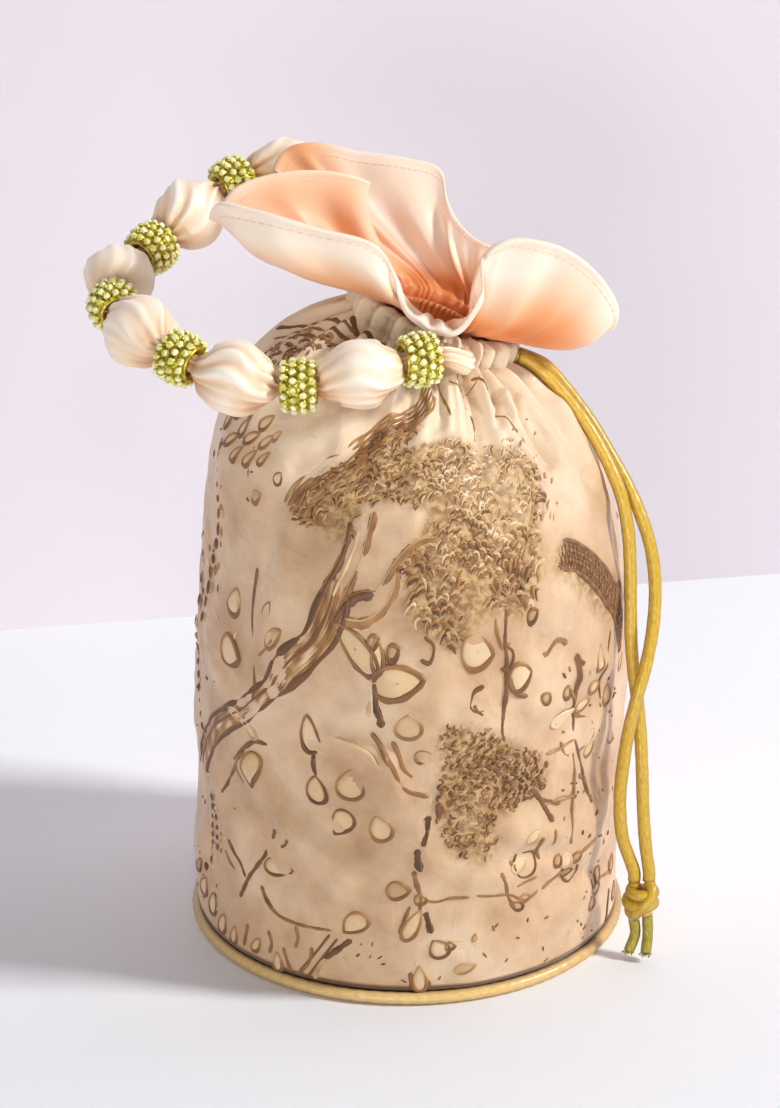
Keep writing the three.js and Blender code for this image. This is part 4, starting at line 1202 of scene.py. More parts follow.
crown_hoop, bush_hoop = Hoop(), Hoop()
neck_bands = [
    (1.6, 0.16, [(-108, 178), (-100, 187), (-90, 193), (-80, 197)]),
    (1.2, 0.3, [(-104, 176), (-96, 184), (-86, 190), (-76, 194), (-66, 197)]),
    (1.5, 0.22, [(-92, 182), (-84, 188), (-74, 191), (-64, 194)]),
    (1.3, 0.36, [(-86, 178), (-78, 184), (-70, 188), (-62, 190)]),
    (1.8, 0.12, [(-72, 198), (-60, 196.5), (-48, 197.5), (-38, 198.5)]),
    (1.6, 0.2, [(-66, 193.5), (-56, 192), (-46, 193), (-38, 195)]),
    (1.2, 0.3, [(-64, 189), (-56, 187.5), (-47, 189), (-40, 192)]),
    (1.4, 0.16, [(-36, 198), (-33, 190), (-31, 182), (-30, 174)]),
    (1.0, 0.3, [(-41, 192), (-38, 184), (-36, 176)]),
    (0.9, 0.3, [(6, 190), (9, 180), (12, 172)]),
    (0.8, 0.36, [(18, 192), (24, 182), (27, 170), (25, 162)]),
    (0.9, 0.3, [(33, 192), (38, 182), (42, 170), (46, 160)]),
    (0.7, 0.38, [(12, 188), (20, 184), (30, 186), (36, 190)]),
]
for width, tone, points in neck_bands:
    band = smooth_line(points, 0.9)
    crown_hoop.rib(band, width + 0.3 * np.sin(np.arange(len(band)) * 1.1), 0.3, tone + 0.08)
shoulder_patch = [(-100, 172), (-92, 186), (-78, 192), (-66, 190), (-70, 180), (-84, 172)]
foliage(crown_hoop, shoulder_patch, 40, 2.2, 3.0, lambda across, up: 0.5)
foliage(crown_hoop, foliage_clouds["crown"], 4, 1.9, 2.5, crown_tone)
foliage(crown_hoop, foliage_clouds["left lobe"], 36, 1.9, 2.5, lobe_tone)
# A band of dark stitches along the lobe's upper-left edge and on to the neck: partly stitching, partly
# painted shade of the fold along it.
edge_stitch_and_fold_shade_points = [
    (-42, 137), (-40, 143), (-34, 149), (-27, 155), (-21, 163), (-13, 169), (-3, 175), (1, 183),
]
edge_stitch_and_fold_shade = smooth_line(edge_stitch_and_fold_shade_points, 1.0)
walk = lengths_along(edge_stitch_and_fold_shade)
for offset in np.arange(-4.2, 4.4, 0.95):
    sway = offset + 0.5 * np.sin(walk * 0.5 + 3 * offset)
    tone = 0.3 + 0.045 * abs(offset) + 0.08 * np.sin(walk * 0.8 + offset)
    crown_hoop.rib(edge_stitch_and_fold_shade + beside(edge_stitch_and_fold_shade) * sway[:, None], 1.3, 0.3, tone)
for across, up in chance.uniform([28, 132], [58, 168], (46, 2)):
    if not inside_outline(across, up, foliage_clouds["crown"]):
        lean, half = chance.uniform(-0.4, 1.4), chance.uniform(0.7, 1.4)
        line = dash(np.array([across, up]), lean, half, 0.2)[0]
        crown_hoop.rib(line, 0.8, 0.35, chance.uniform(0.5, 0.72))

for up in np.arange(44, 93, 2.1):
    for across in np.arange(6, 46, 2.2):
        spot = np.array([across, up]) + chance.uniform(-1.0, 1.0, 2)
        if not inside_outline(spot[0], spot[1], foliage_clouds["bush"]):
            continue
        leafy = chance.uniform(0.0, 2 * math.pi)
        pale = dash(spot + [0.8, 0.5], leafy, chance.uniform(0.7, 1.3), 0.5)[0]
        bush_hoop.rib(pale, 0.9, 0.35, chance.uniform(0.42, 0.62))
        if chance.random() < 0.85:
            darker = 0.12 if spot[0] > 30 else 0.2
            sweep = leafy + np.linspace(0, chance.uniform(2.4, 4.6), 7)
            curl = spot + chance.uniform(0.6, 1.05) * np.stack([np.cos(sweep), np.sin(sweep)], 1)
            bush_hoop.rib(curl, chance.uniform(0.6, 1.0), 0.45, darker + chance.uniform(-0.06, 0.16))

brush_points = [
    (49.5, 123.5), (56, 123), (62.5, 120.5), (69, 116.5), (75, 112), (80.5, 107.5), (85, 101.5), (86, 96),
]
brush_line = smooth_line(brush_points, 0.9)
walk = np.linspace(0, 1, len(brush_line))
brush_half = np.interp(walk, [0, 0.08, 0.5, 0.8, 1], [1.6, 3.6, 3.4, 2.2, 0.9])
brush_side = beside(brush_line) * brush_half[:, None]
for share in np.linspace(-0.9, 0.9, 7):
    flecks = 0.08 * np.sin(np.arange(len(brush_line)) * 1.3 + 9 * share)
    bush_hoop.rib(brush_line + brush_side * share, 1.15, 0.4, 0.42 - 0.14 * abs(share) + flecks)
for number in range(2, len(brush_line) - 2):
    way = 1 if number % 2 else -1
    reach = brush_side[number] * 1.02 + (brush_line[number + 1] - brush_line[number]) * 1.6 * way
    ends = [brush_line[number] - reach, brush_line[number] + reach]
    bush_hoop.rib(np.linspace(*ends, 6), 0.62, 0.62, 0.08 + 0.1 * (number % 3))

for half, offset in (("front", 0), ("back", half_girth)):
    for label, hoop in (
        ("tree", tree_hoop),
        ("leaves", leaf_hoop),
        ("crown", crown_hoop),
        ("bush", bush_hoop),
    ):
        worked_piece = hoop.piece(f"embroidery_{label}_{half}", offset)
        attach(worked_piece, "pouch")

# Lining
# A bag of peach satin hangs inside the wall. Its top is caught in the channel's seam and its
# foot lies on the board.
satin_fineness = 620


def satin_finish(name, steps, roughness):
    """Peach satin: smooth and softly shining, with its colour read from its depth attribute, which holds
    painted light and shade on the frill and the sleeve.
    """
    finish, tree, shader = new_finish(name)
    depth = add_node(tree, "Attribute", attribute_name="depth").outputs["Fac"]
    varied = sums(tree, "MULTIPLY_ADD", clouds(tree, over_piece(tree), 55, 3), 0.16, depth)
    threads = place_weave(tree, over_cloth(tree), satin_fineness)
    height = sums(tree, "MULTIPLY_ADD", threads["Slub"], 0.8, threads["Height"])
    values = {"Normal": raised(tree, height, 0.12, 0.0002), "Roughness": roughness, "Sheen Weight": 0.25}
    plug(shader, {"Base Color": colour_steps(tree, varied, steps), **values})
    return finish


lining_tones = [(0.1, dyed(232, 178, 138)), (0.8, dyed(226, 158, 108)), (1.0, dyed(204, 112, 50))]
lining_satin = satin_finish("peach lining satin", lining_tones, 0.45)
lining_fit = {
    "foot": 0.0042,
    "foot_radius": 0.065,
    "wall_radius": 0.0647,
    "neck_radius": 0.0143,
    "neck_low": -0.007,
    "neck_high": 0.002,
    "sink": 0.005,
}
lining_columns = 192
lining_turns = full_turn(lining_columns)
lining_rises = graded((0, 1, 16), (1, 2, 44), (2, 3, 7))
lining_thickness = 0.0008


def lining_skin(inward):
    turn, rise = np.meshgrid(lining_turns, lining_rises)
    tucks = 0.0004 * eased(rise, 1.4, 2) * np.sin(48 * turn + np.sin(6 * turn))
    return at_height(turn, rise, lining_fit, 3, slack(turn, rise) + tucks - inward)


lining_outside = lining_skin(0.0001)
lining_inside = lining_skin(0.0001 + lining_thickness)[::-1]
lining_inside[-1, :, 2] = lining_fit["foot"] + lining_thickness


def lining_floor(ring, level):
    shares = np.array([0.01, 0.25, 0.5, 0.75, 0.92])[:, None, None]
    rings = ring[None] * shares
    rings[:, :, 2] = level
    return rings


below = lining_floor(lining_outside[0], lining_fit["foot"])
above = lining_floor(lining_inside[-1], lining_fit["foot"] + lining_thickness)[::-1]
lining_shape = np.concatenate([below, lining_outside, lining_inside, above])
lining_depth = np.repeat((lining_shape[:, :1, 2] - 0.004) / 0.19, lining_columns, axis=1)
lining_bag = sewn_piece(
    "lining_bag",
    lining_shape,
    lining_satin,
    lengths_along(lining_shape[:, 0]),
    np.linspace(0, 0.408, lining_columns + 1),
    shades={"depth": lining_depth},
)
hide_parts("lining")
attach(lining_bag, "pouch")

# Drawstring in its channel
# The same gold cord runs once round the neck inside the turned-in cloth and out at the slit.
channel_radius = 0.0189
lead = [
    (0.0277, 0.0023),
    (0.0255, 0.0023),
    (channel_radius + 0.0039, 0.0024),
    (channel_radius + 0.0015, 0.0032),
    (channel_radius - 0.0005, 0.0053),
]
channel_turns = [(math.atan2(back, right), math.hypot(right, back)) for right, back in lead]
channel_turns += [(math.radians(angle), channel_radius) for angle in range(28, 333, 16)]
channel_turns += [(-math.atan2(back, right), math.hypot(right, back)) for right, back in lead[::-1]]
channel_route = np.array([at_neck(turn, reach, channel_level) for turn, reach in channel_turns])
neck_cord = cord_piece("neck_cord", channel_route, 0.00195, 0.0018, 12)[0]
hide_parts("neck_drawstring")
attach(neck_cord, "pouch")

# Frill
# A gathered strip of doubled peach satin is sewn inside the neck and spreads above it in three
# deep petals. Its free edge is a narrow rolled hem with a line of small stitches.
frill_cut = (0.43, 0.055)
frill_width = 0.05
# Edge points: angle in degrees, reach and rise in strip widths, angle of the cloth, belly.
frill_edge = [
    (262, 0.58, 0.104, -10, 0.6),
    (275, 0.58, 0.12, 0, 0.6),
    (283, 0.556, 0.21, 60, 0.5),
    (286, 0.542, 0.4, 85, 0.5),
    (279, 0.532, 0.62, 85, 0.5),
    (288, 0.528, 0.75, 70, 0.5),
    (313, 0.62, 0.81, 80, 0.6),
    (333, 0.8, 0.74, 85, 0.75),
    (350, 0.99, 0.52, 85, 0.8),
    (2, 1.03, 0.33, 40, 0.6),
    (14, 0.96, 0.41, 55, 0.5),
    (29, 0.77, 0.53, 75, 0.4),
    (50, 0.56, 0.49, 85, 0.3),
    (70, 0.46, 0.46, 85, 0.2),
    (90, 0.5, 0.5, 75, 0.2),
    (101, 0.62, 0.59, 65, 0.2),
    (108, 0.74, 0.74, 60, 0.3),
    (121, 0.86, 0.72, 55, 0.3),
    (135, 1.04, 0.66, 45, 0.3),
    (146, 1.23, 0.62, 40, 0.3),
    (151, 1.33, 0.53, 25, 0.3),
    (156, 1.3, 0.4, 20, 0.3),
    (158, 1.02, 0.5, 50, 0.2),
    (154, 0.71, 0.6, 80, 0.1),
    (166, 0.85, 0.62, 75, 0.2),
    (174, 1.15, 0.53, 55, 0.3),
    (180, 1.39, 0.37, 30, 0.3),
    (184, 1.48, 0.17, 10, 0.4),
    (190, 1.49, 0.31, 60, 0.6),
    (197, 1.28, 0.38, 85, 0.75),
    (207, 0.97, 0.42, 95, 0.8),
    (220, 0.69, 0.44, 95, 0.7),
    (231, 0.55, 0.29, 80, 0.6),
    (246, 0.56, 0.144, 20, 0.6),
]
edge_places = np.array(
    [
        at_neck(math.radians(angle), frill_width * reach, frill_width * rise)
        for angle, reach, rise, _, _ in frill_edge
    ]
)
edge_rail = np.vstack([edge_places[-1], edge_places, edge_places[0], edge_places[1]])


def edge_at(share):
    """The frill's free edge at shares of the way round."""
    stage = (np.asarray(share) % 1) * len(frill_edge)
    places = np.zeros((len(stage), 3))
    for number in range(len(frill_edge)):
        here = np.floor(stage).astype(int) == number
        if here.any():
            places[here] = bend_between(*edge_rail[number : number + 4], stage[here] - number)
    return places


def edge_value(share, column):
    stage = (np.asarray(share) % 1) * len(frill_edge)
    before = np.floor(stage).astype(int) % len(frill_edge)
    values = np.array([row[column] for row in frill_edge], float)
    onward = eased(stage - np.floor(stage), 0, 1)
    return values[before] * (1 - onward) + values[(before + 1) % len(frill_edge)] * onward


edge_shares = np.arange(801) / 800
edge_lengths = lengths_along(np.vstack([edge_at(edge_shares[:-1]), edge_places[:1]]))
edge_turns = math.radians(frill_edge[0][0]) + edge_lengths / edge_lengths[-1] * 2 * math.pi
frill_collar = 0.01571
collar_share = 0.14


def frill_place(share, up):
    """The frill's middle layer at shares round and up the strip."""
    whole = np.floor(share)
    turn = np.interp(share - whole, edge_shares, edge_turns) + whole * 2 * math.pi
    foot, top = at_neck(turn, frill_collar, -0.004), at_neck(turn, frill_collar, 0.0046)
    edge = edge_at(share)
    span = np.linalg.norm(edge - top, axis=1)[:, None]
    out = edge - neck_centre
    out = out - np.outer(out @ neck_up, neck_up)
    out /= np.linalg.norm(out, axis=1)[:, None]
    tilt = np.radians(edge_value(share, 3))[:, None]
    belly = edge_value(share, 4)[:, None]
    round_about = at_neck(turn, 1, 0) - neck_centre
    leave = top + neck_up * 0.0028 + round_about * span * belly * 0.8
    arrive = out * np.cos(tilt) + neck_up * np.sin(tilt)
    back = edge - arrive * span * 0.38
    t = np.clip((up - collar_share) / (1 - collar_share), 0, 1)[:, None]
    spread = drawn_curve(top, leave, back, edge, t)
    collar = foot + (top - foot) * np.clip(up / collar_share, 0, 1)[:, None]
    return np.where((up <= collar_share)[:, None], collar, spread)


def frill_outward(share, up):
    step = 0.004
    round_about = frill_place(share + step, up) - frill_place(share - step, up)
    above = frill_place(share, np.minimum(up + step, 1))
    upward = above - frill_place(share, np.maximum(up - step, 0))
    normal = np.cross(round_about, upward)
    return normal / np.linalg.norm(normal, axis=1)[:, None]


def frill_folds(share, up):
    """Gathers at the neck that open into soft flutes towards the free edge."""
    whole_turns = share * 2 * math.pi
    uneven = 1 + 0.5 * np.sin(3 * whole_turns + 1)
    tight = np.exp(-(((up - 0.24) / 0.12) ** 2)) * np.sin(33 * whole_turns + 2 * np.sin(5 * whole_turns))
    at_front = np.exp(-((((share + 0.5) % 1 - 0.5) / 0.07) ** 2))
    tight = 0.0006 * uneven * tight * (1 - 0.8 * at_front)
    soft = 0.0011 * np.sin(math.pi * np.clip(up - collar_share, 0, 1)) ** 2
    flutes = np.sin(19 * whole_turns + 2.2 * np.sin(3 * whole_turns) + 1.6 * up)
    flutes = flutes + 0.5 * np.sin(31 * whole_turns + 1 + 2 * np.sin(5 * whole_turns))
    return tight + soft * flutes


def frill_layer(shares, ups, side):
    share, up = np.meshgrid(shares, ups)
    flat_share, flat_up = share.ravel(), up.ravel()
    rolled = np.exp(-(((flat_up - 0.985) / 0.016) ** 2))
    half = np.where(flat_up <= collar_share, 0.00075, 0.0006) + 0.0003 * rolled
    offset = frill_folds(flat_share, flat_up) + side * half
    place = frill_place(flat_share, flat_up) + frill_outward(flat_share, flat_up) * offset[:, None]
    return place.reshape(len(ups), len(shares), 3)


frill_columns = 560
frill_shares = np.arange(frill_columns) / frill_columns
frill_ups = graded((0, collar_share, 5), (collar_share, 0.95, 42), (0.95, 1, 6))
front_face = frill_layer(frill_shares, frill_ups, 1)
frill_shape = np.concatenate([front_face, frill_layer(frill_shares, frill_ups[::-1], -1)])
frill_rows = np.concatenate([frill_ups, frill_ups[::-1]])
frill_satin = satin_finish(
    "peach frill satin",
    [
        (0.08, dyed(170, 82, 18)),
        (0.28, dyed(222, 124, 56)),
        (0.48, dyed(238, 160, 102)),
        (0.68, dyed(245, 190, 148)),
        (0.88, dyed(250, 216, 186)),
        (1.0, dyed(252, 232, 212)),
    ],
    0.4,
)
# Painted light and shade on the satin: place round and up the strip, face, reach, and how much lighter or
# deeper.
painted_frill_light_and_shade = [
    (0.58, 1.0, -1, 0.04, 0.3, -0.42),
    (0.49, 0.95, -1, 0.06, 0.3, 0.12),
    (0.53, 0.6, -1, 0.07, 0.2, 0.38),
    (0.42, 0.8, -1, 0.04, 0.25, 0.1),
    (0.49, 0.32, -1, 0.05, 0.08, -0.2),
    (0.56, 0.42, -1, 0.06, 0.12, 0.2),
    (0.92, 0.7, 1, 0.05, 0.3, 0.12),
    (0.417, 0.48, -1, 0.03, 0.14, -0.3),
    (0.717, 0.68, -1, 0.02, 0.16, -0.16),
    (0.73, 0.92, -1, 0.05, 0.12, -0.18),
    (0.69, 0.6, -1, 0.02, 0.12, 0.16),
    (0.87, 0.9, 1, 0.08, 0.14, 0.12),
    (0.88, 0.55, 1, 0.05, 0.12, -0.06),
    (0.15, 0.8, 1, 0.06, 0.4, 0.2),
    (0.172, 0.38, 1, 0.08, 0.1, -0.2),
    (0.21, 0.58, 1, 0.05, 0.2, -0.26),
    (0.96, 0.9, 1, 0.06, 0.4, 0.2),
    (0.99, 0.8, -1, 0.06, 0.3, 0.25),
]


def frill_tone_and_painted_shading(share, up, side):
    # Painted shade deepens towards the neck and painted light grows towards the free edge; the flutes are
    # painted as light and dark stripes.
    tone = 0.14 + 0.74 * up
    for middle, level, face, reach, height, amount in painted_frill_light_and_shade:
        away = (share - middle + 0.5) % 1 - 0.5
        near = np.exp(-((away / reach) ** 2) - ((up - level) / height) ** 2)
        tone = tone + amount * (side == face) * near
    flutes = 19 * share * 2 * math.pi + 2.2 * np.sin(6 * math.pi * share) + 1.6 * up
    return tone + 0.05 * np.sin(flutes)


share_grid, up_grid = np.meshgrid(frill_shares, frill_rows)
face_grid = np.where(np.arange(len(frill_rows)) < len(frill_ups), 1, -1)[:, None] + 0 * up_grid
frill = sewn_piece(
    "frill",
    frill_shape,
    frill_satin,
    frill_rows * frill_cut[1],
    np.linspace(0, edge_lengths[-1], frill_columns + 1),
    ends="joined",
    shades={"depth": frill_tone_and_painted_shading(share_grid, up_grid, face_grid)},
)
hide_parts("ruffle")
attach(frill, "pouch")

# Hem stitches of the frill
# Short machine stitches in peach thread hold the rolled hem on both faces.
hem_thread_steps = [(0.3, dyed(240, 192, 156)), (0.7, dyed(250, 214, 184))]
hem_thread = speckled_finish("peach hem thread", 2400, 2, hem_thread_steps, {"Roughness": 0.5})
stitch_count = 210
stitch_sides = 5
stitch_level = 0.945
stitch_lift = 0.00062
stitch_thickness = np.array([0.00008, 0.00016, 0.00016, 0.00008])
rib_faces = grid_faces(len(stitch_thickness), stitch_sides, True, False)[0]
hem_places, hem_faces = [], []
for side in (1, -1):
    for number in range(stitch_count):
        share = (number + np.array([0.12, 0.4, 0.62, 0.88])) / stitch_count
        flat = np.full(len(share), stitch_level)
        middle = frill_place(share, flat)
        out = frill_outward(share, flat) * side
        middle = middle + out * (stitch_lift + side * frill_folds(share, flat))[:, None]
        base = len(hem_places) * len(stitch_thickness) * stitch_sides
        hem_places.append(rings_round(middle, stitch_thickness, stitch_sides).reshape(-1, 3))
        caps = [[base + k for k in (4, 3, 2, 1, 0)], [base + k for k in range(15, 20)]]
        hem_faces += (rib_faces + base).tolist() + caps
hem_stitches = mesh_piece(
    "frill_hem_stitches", np.concatenate(hem_places), hem_faces, hem_thread, smooth=False
)
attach(hem_stitches, "pouch")

# Handle sleeve
# One tube of peach satin is gathered tight through each gold bead and swells over a ball
# between them, with its fullness drawn into fine tucks at both ends of each swelling.
bead_pitch = 0.0364
gold_count = 8
hinge_reach = 0.009
neck_outside = 0.027
tab_radius = 0.0034
tab_thickness = 0.0026
hinge_place = neck_centre + neck_right * hinge_reach
tab_start = math.sqrt(neck_outside**2 - (hinge_reach - tab_radius) ** 2) + 0.0006
handle_start = tab_start + tab_thickness + 0.0003
# The handle's line, counted in bead pitches from the middle of its hinge.
handle_route = [
    (-0.053, -1.003, 0.054),
    (-0.311, -1.099, 0.109),
    (-0.781, -1.258, 0.048),
    (-1.289, -1.319, -0.045),
    (-1.811, -1.264, 0.004),
    (-2.32, -1.044, 0.125),
    (-2.649, -0.687, 0.238),
    (-2.872, -0.206, 0.334),
    (-2.8, 0.275, 0.449),
    (-2.512, 0.659, 0.609),
    (-2.196, 0.975, 0.828),
    (-1.839, 1.236, 1.007),
    (-1.399, 1.415, 1.007),
    (-0.946, 1.47, 0.815),
    (-0.52, 1.346, 0.526),
    (-0.204, 1.099, 0.238),
]
handle_points = np.vstack(
    [
        hinge_place - neck_back * handle_start,
        np.array(handle_route) * bead_pitch + hinge_place,
        hinge_place + neck_back * handle_start,
    ]
)
handle_fine = smooth_line(handle_points, 0.0001)
fine_lengths = lengths_along(handle_fine)
handle_length = fine_lengths[-1]
first_bead = (handle_length - (gold_count - 1) * bead_pitch) / 2
pinch_half = 0.0063
ball_radius = 0.0107 - 0.0006 - 0.00135


def fine_place(length):
    return np.array([np.interp(length, fine_lengths, column) for column in handle_fine.T])


def fine_heading(length):
    ahead = fine_place(min(length + 0.0002, handle_length)) - fine_place(max(length - 0.0002, 0))
    return ahead / np.linalg.norm(ahead)


links = [(0.0, 0.001, fine_place(0), np.array([0, -1.0, 0]))]
for half in range(2 * gold_count - 1):
    middle = first_bead + half * bead_pitch / 2
    reach = pinch_half if half % 2 == 0 else 0.9 * ball_radius
    links.append((middle, reach, fine_place(middle), fine_heading(middle)))
links.append((handle_length, 0.001, fine_place(handle_length), np.array([0, -1.0, 0])))


def along_handle(length):
    """Place and heading at a length, straight through each bead and ball and bent between."""
    for middle, reach, place, heading in links:
        if abs(length - middle) <= reach + 1e-9:
            return place + heading * (length - middle), heading
    after = next(number for number, link in enumerate(links) if link[0] > length)
    low, low_reach, low_place, low_heading = links[after - 1]
    high, high_reach, high_place, high_heading = links[after]
    start, end = low_place + low_heading * low_reach, high_place - high_heading * high_reach
    pull = np.linalg.norm(end - start) / 3
    first, last = start + low_heading * pull, end - high_heading * pull
    t = (length - low - low_reach) / (high - high_reach - low - low_reach)
    place = drawn_curve(start, first, last, end, t)
    slope = (first - start) * (1 - t) ** 2 + 2 * (last - first) * t * (1 - t) + (end - last) * t**2
    return place, slope / np.linalg.norm(slope)


sleeve_sides = 88
sleeve_turn = full_turn(sleeve_sides)
end_radius = 0.0034
pinched_radius = 0.0026
fullness = 0.0077
sleeve_lengths = np.linspace(0, handle_length, 420)
sleeve_rows, sleeve_painted_shading = [], []
for length in sleeve_lengths:
    place, heading = along_handle(length)
    aside = np.cross(heading, upright)
    aside /= np.linalg.norm(aside)
    upward = np.cross(aside, heading)
    gap = math.floor((length - first_bead) / bead_pitch)
    if gap < 0 or gap >= gold_count - 1:
        to_end = min(min(length, handle_length - length) / (first_bead - pinch_half), 1)
        radius, tucks = end_radius + (pinched_radius - end_radius) * to_end**2, 0.00022
        swell, painted_light_share = 0, 0.42 * (1 - to_end**2)
    else:
        share = ((length - first_bead) / bead_pitch - gap) * bead_pitch
        share = float(np.clip((share - pinch_half) / (bead_pitch - 2 * pinch_half), 0, 1))
        swell = math.sin(math.pi * share) ** 0.72 if 0 < share < 1 else 0
        radius = pinched_radius + fullness * swell
        tucks = 0.00034 + 0.00052 * swell**0.6 * (1 - swell) ** 0.6 - 0.0001 * (1 - swell)
        painted_light_share = 0.44 * swell
    number = gap + 1
    twisted = sleeve_turn + 0.5 * math.sin(length * 160 + number)
    broad = np.sin(7 * twisted + 1.3 * number + 1.9 * np.sin(2 * sleeve_turn + number))
    fine = np.sin(13 * twisted + 2.1 * number + 1.6 * np.sin(3 * sleeve_turn + number))
    wave = (broad + 0.55 * fine) * (1 + 0.5 * np.sin(sleeve_turn + 2.4 * number))
    squashed = 1 + 0.06 * swell * np.cos(2 * sleeve_turn + 1.7 * number)
    ring_radius = radius * squashed + tucks * wave
    ring = np.outer(ring_radius * np.cos(sleeve_turn), aside)
    ring = ring + np.outer(ring_radius * np.sin(sleeve_turn), upward)
    sleeve_rows.append(place + ring)
    # Painted light and shade on the sleeve: lighter over each swelling and towards the ends, darker in the
    # folds and on the underside.
    under = np.clip(-np.sin(sleeve_turn), 0, 1) ** 2
    sleeve_painted_shading.append(0.34 + painted_light_share + 0.11 * np.clip(wave, -1.5, 1.2) - 0.3 * under)
sleeve_satin = satin_finish(
    "peach sleeve satin",
    [(0.33, dyed(206, 146, 96)), (0.62, dyed(246, 211, 174)), (0.94, dyed(254, 240, 221))],
    0.36,
)
sleeve = sewn_piece(
    "satin_sleeve",
    np.array(sleeve_rows),
    sleeve_satin,
    sleeve_lengths,
    np.linspace(0, 0.06, sleeve_sides + 1),
    shades={"depth": np.array(sleeve_painted_shading)},
)
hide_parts("handle_sleeve")
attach(sleeve, "handle")

# Balls and strong cord inside the sleeve
# Turned light wood balls are strung on a cotton cord and are never seen.
turned_wood, tree, shader = new_finish("turned light wood")
grain_values = {"Vector": over_piece(tree), "Scale": 90, "Distortion": 6, "Detail": 3}
grain = add_node(tree, "TexWave", grain_values).outputs["Fac"]
wood_steps = [(0.2, dyed(206, 172, 124)), (0.9, dyed(228, 200, 156))]
plug(shader, {"Base Color": colour_steps(tree, grain, wood_steps), "Roughness": 0.55})
cotton_steps = [(0.3, dyed(216, 208, 192)), (0.7, dyed(240, 234, 222))]
cotton_cord = speckled_finish("cotton cord", 1500, 2, cotton_steps, {"Roughness": 0.85})
inner_finishes = {f"padding_ball_{number}": turned_wood for number in range(1, gold_count)}
inner_finishes["handle_core"] = cotton_cord
for node_name, finish in inner_finishes.items():
    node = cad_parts[node_name]
    node.data.materials.clear()
    node.data.materials.append(finish)

# Gold beads
# Hollow gold-plated barrels with a rolled rim at each end and four rows of small pale stones
# in raised collets. They sit snug on the gathered sleeve.
gold_steps = [(0.3, dyed(144, 128, 34)), (0.7, dyed(234, 220, 96))]
gold_values = {"Metallic": 0.8, "Roughness": 0.32}
plated_gold = speckled_finish("plated gold", 900, 4, gold_steps, gold_values, relief=0.0003)
stone_steps = [(0.35, dyed(212, 208, 96)), (0.62, dyed(252, 251, 206))]
pale_stone = speckled_finish("pale stone", 500, 1, stone_steps, {"Roughness": 0.1})

bpy.ops.object.select_all(action="DESELECT")
bpy.ops.mesh.primitive_torus_add(
    major_segments=48, minor_segments=16, major_radius=0.00505, minor_radius=0.00185
)
barrel = bpy.context.active_object
bpy.ops.object.mode_set(mode="EDIT")
bpy.ops.mesh.select_all(action="SELECT")
bpy.ops.transform.resize(value=(1, 1, 2.75))
bpy.ops.object.mode_set(mode="OBJECT")
bpy.ops.object.shade_smooth()
barrel.data.materials.append(plated_gold)
barrel.data.materials.append(pale_stone)
bead_parts = [barrel]
for way in (-1, 1):
    bpy.ops.mesh.primitive_torus_add(
        major_segments=40,
        minor_segments=8,
        major_radius=0.0049,
        minor_radius=0.00062,
        location=(0, 0, way * 0.0049),
    )
    rim = bpy.context.active_object
    bpy.ops.object.transform_apply(location=True)
    bpy.ops.object.shade_smooth()
    rim.data.materials.append(plated_gold)
    bead_parts.append(rim)
collet_radius = 0.00138
stone_radius = 0.00118
stand_out = 1.1
# Rows of stones: height along the bead, reach from its middle, how many, and their shift.
stone_rows = (
    (-0.0037, 0.0061, 15, 0.5),
    (-0.00125, 0.0067, 16, 0),
    (0.00125, 0.0067, 16, 0.5),
    (0.0037, 0.0061, 15, 0),
)
for level, reach, count, shift in stone_rows:
    for number in range(count):
        turn = (number + shift) / count * 2 * math.pi
        place = (reach * math.cos(turn), reach * math.sin(turn), level)
        bpy.ops.mesh.primitive_uv_sphere_add(segments=8, ring_count=5, radius=collet_radius, location=place)
        collet = bpy.context.active_object
        bpy.ops.object.transform_apply(location=True)
        collet.data.materials.append(plated_gold)
        bpy.ops.object.shade_smooth()
        top = (place[0] * stand_out, place[1] * stand_out, place[2] * stand_out)
        bpy.ops.mesh.primitive_ico_sphere_add(subdivisions=1, radius=stone_radius, location=top)
        stone = bpy.context.active_object
        bpy.ops.object.transform_apply(location=True)
        stone.data.materials.append(pale_stone)
        bead_parts += [collet, stone]
model_bead = join_parts(bead_parts, "model_bead")


def turned_to(heading, roll):
    """The turn that lays a piece made upright along the heading."""
    side = np.cross(upright, heading)
    side = side / np.linalg.norm(side)
    around = np.stack([side, np.cross(heading, side), heading], 1)
    across, down = math.cos(roll), math.sin(roll)
    return around @ np.array([[across, -down, 0], [down, across, 0], [0, 0, 1]])


def placed_copy(model, name, turn, place):
    """A copy with its own mesh, whose place is in its points."""
    mesh = model.data.copy()
    mesh.name = name
    spots = np.empty(len(mesh.vertices) * 3)
    mesh.vertices.foreach_get("co", spots)
    spots = spots.reshape(-1, 3) @ turn.T + place
    mesh.vertices.foreach_set("co", spots.ravel())
    mesh.update()
    return put_in_scene(name, mesh)


for number in range(gold_count):
    place, heading = along_handle(first_bead + number * bead_pitch)
    turn = turned_to(heading, 0.7 * number)
    bead = placed_copy(model_bead, f"stone_bead_{number + 1}", turn, place)
    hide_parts(f"gold_bead_{number + 1}")
    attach(bead, "handle")
bpy.data.objects.remove(model_bead)

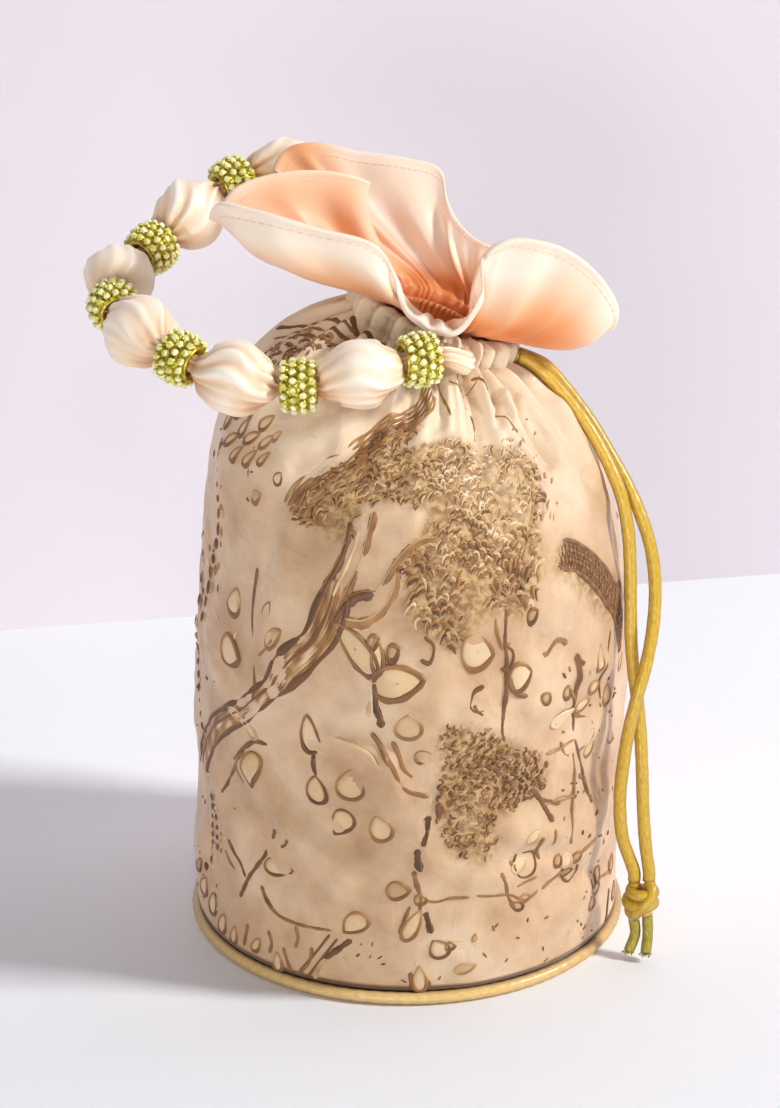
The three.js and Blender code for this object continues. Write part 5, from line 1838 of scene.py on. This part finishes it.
# Sewn tabs
# A small round tab of the same satin carries each end of the handle and is stitched to the neck.
tab_steps = [(0.35, dyed(226, 174, 136)), (0.7, dyed(248, 214, 184))]
tab_satin = woven_finish("peach tab satin", satin_fineness, tab_steps, 0.2, 0.42)
for name, way in (("front", -1), ("back", 1)):
    bpy.ops.object.select_all(action="DESELECT")
    middle = hinge_place + neck_back * way * (tab_start + tab_thickness / 2)
    bpy.ops.mesh.primitive_cylinder_add(
        vertices=48,
        radius=tab_radius,
        depth=tab_thickness,
        location=tuple(middle),
        rotation=(math.pi / 2, 0, 0),
    )
    tab = bpy.context.active_object
    tab.name = f"satin_tab_{name}"
    bpy.ops.object.transform_apply(location=True, rotation=True)
    round_and_inset(tab, 1, 0.0005, 3, [(0.0006, -0.0002)])
    bpy.ops.object.shade_smooth_by_angle(angle=0.9)
    tab.data.materials.append(tab_satin)
    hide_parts(f"handle_tab_{name}")
    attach(tab, "pouch")

# Table and backdrop
# A white table top ends a little behind the pouch, in front of a pale lilac-grey wall.
def stage_finish(name, colour, glow, roughness):
    """A pale surface that shows shadows on its front and is clear from behind."""
    finish, tree, shader = new_finish(name)
    darker = (*[0.985 * part for part in colour[:3]], 1)
    steps = [(0.2, colour), (0.8, darker)]
    tint = colour_steps(tree, clouds(tree, over_piece(tree), 6, 2), steps)
    plug(shader, {"Base Color": tint, "Roughness": roughness, "Specular IOR Level": 0.1})
    plug(shader, {"Emission Color": colour, "Emission Strength": glow})
    behind = add_node(tree, "NewGeometry").outputs["Backfacing"]
    clear = add_node(tree, "BsdfTransparent").outputs[0]
    one_sided = add_node(tree, "MixShader", {0: behind, 1: shader.outputs[0], 2: clear})
    plug(tree.nodes["Material Output"], {"Surface": one_sided.outputs[0]})
    return finish


bpy.ops.object.select_all(action="DESELECT")
bpy.ops.mesh.primitive_plane_add(size=6, location=(0, 0, 0))
table_top = bpy.context.active_object
table_top.name = "table_top"
table_top.data.materials.append(stage_finish("white table", dyed(249, 251, 255), 0, 0.7))
horizon_lean = math.atan2(0.057, 0.293)
bpy.ops.mesh.primitive_plane_add(size=6, location=(0, 0.26, 0), rotation=(math.pi / 2, 0, horizon_lean))
backdrop = bpy.context.active_object
backdrop.name = "backdrop"
bpy.ops.object.transform_apply(location=True, rotation=True)
backdrop.data.materials.append(stage_finish("pale wall", dyed(219, 212, 219), 0.2, 0.9))

# Light
# Plain soft studio light: one lamp high on the right, a weaker one low in front, and a small
# soft spot beside the camera for the frill.
world = bpy.data.worlds.new("studio")
bpy.context.scene.world = world
world.use_nodes = True
plug(world.node_tree.nodes["Background"], {"Color": (0.95, 0.98, 1, 1), "Strength": 0.12})


def lamp_at(name, kind, power, place, target):
    lamp = bpy.data.lights.new(name, kind)
    lamp.energy = power
    holder = put_in_scene(name, lamp)
    holder.location = place
    holder.rotation_euler = (Vector(target) - Vector(place)).to_track_quat("-Z", "Y").to_euler()
    return lamp


lamp_at("key lamp", "AREA", 126, (3.12, -0.56, 2.3), (0, 0, 0.1)).size = 0.6
lamp_at("front lamp", "AREA", 11, (-0.35, -1.6, 0.17), (0, 0, 0.12)).size = 0.6
frill_lamp = lamp_at("frill lamp", "SPOT", 9, (0.06, -0.9, 0.66), (0, 0, 0.215))
frill_lamp.spot_size = math.radians(19)
frill_lamp.spot_blend = 1
frill_lamp.shadow_soft_size = 0.12

bpy.context.scene.view_settings.view_transform = "Standard"
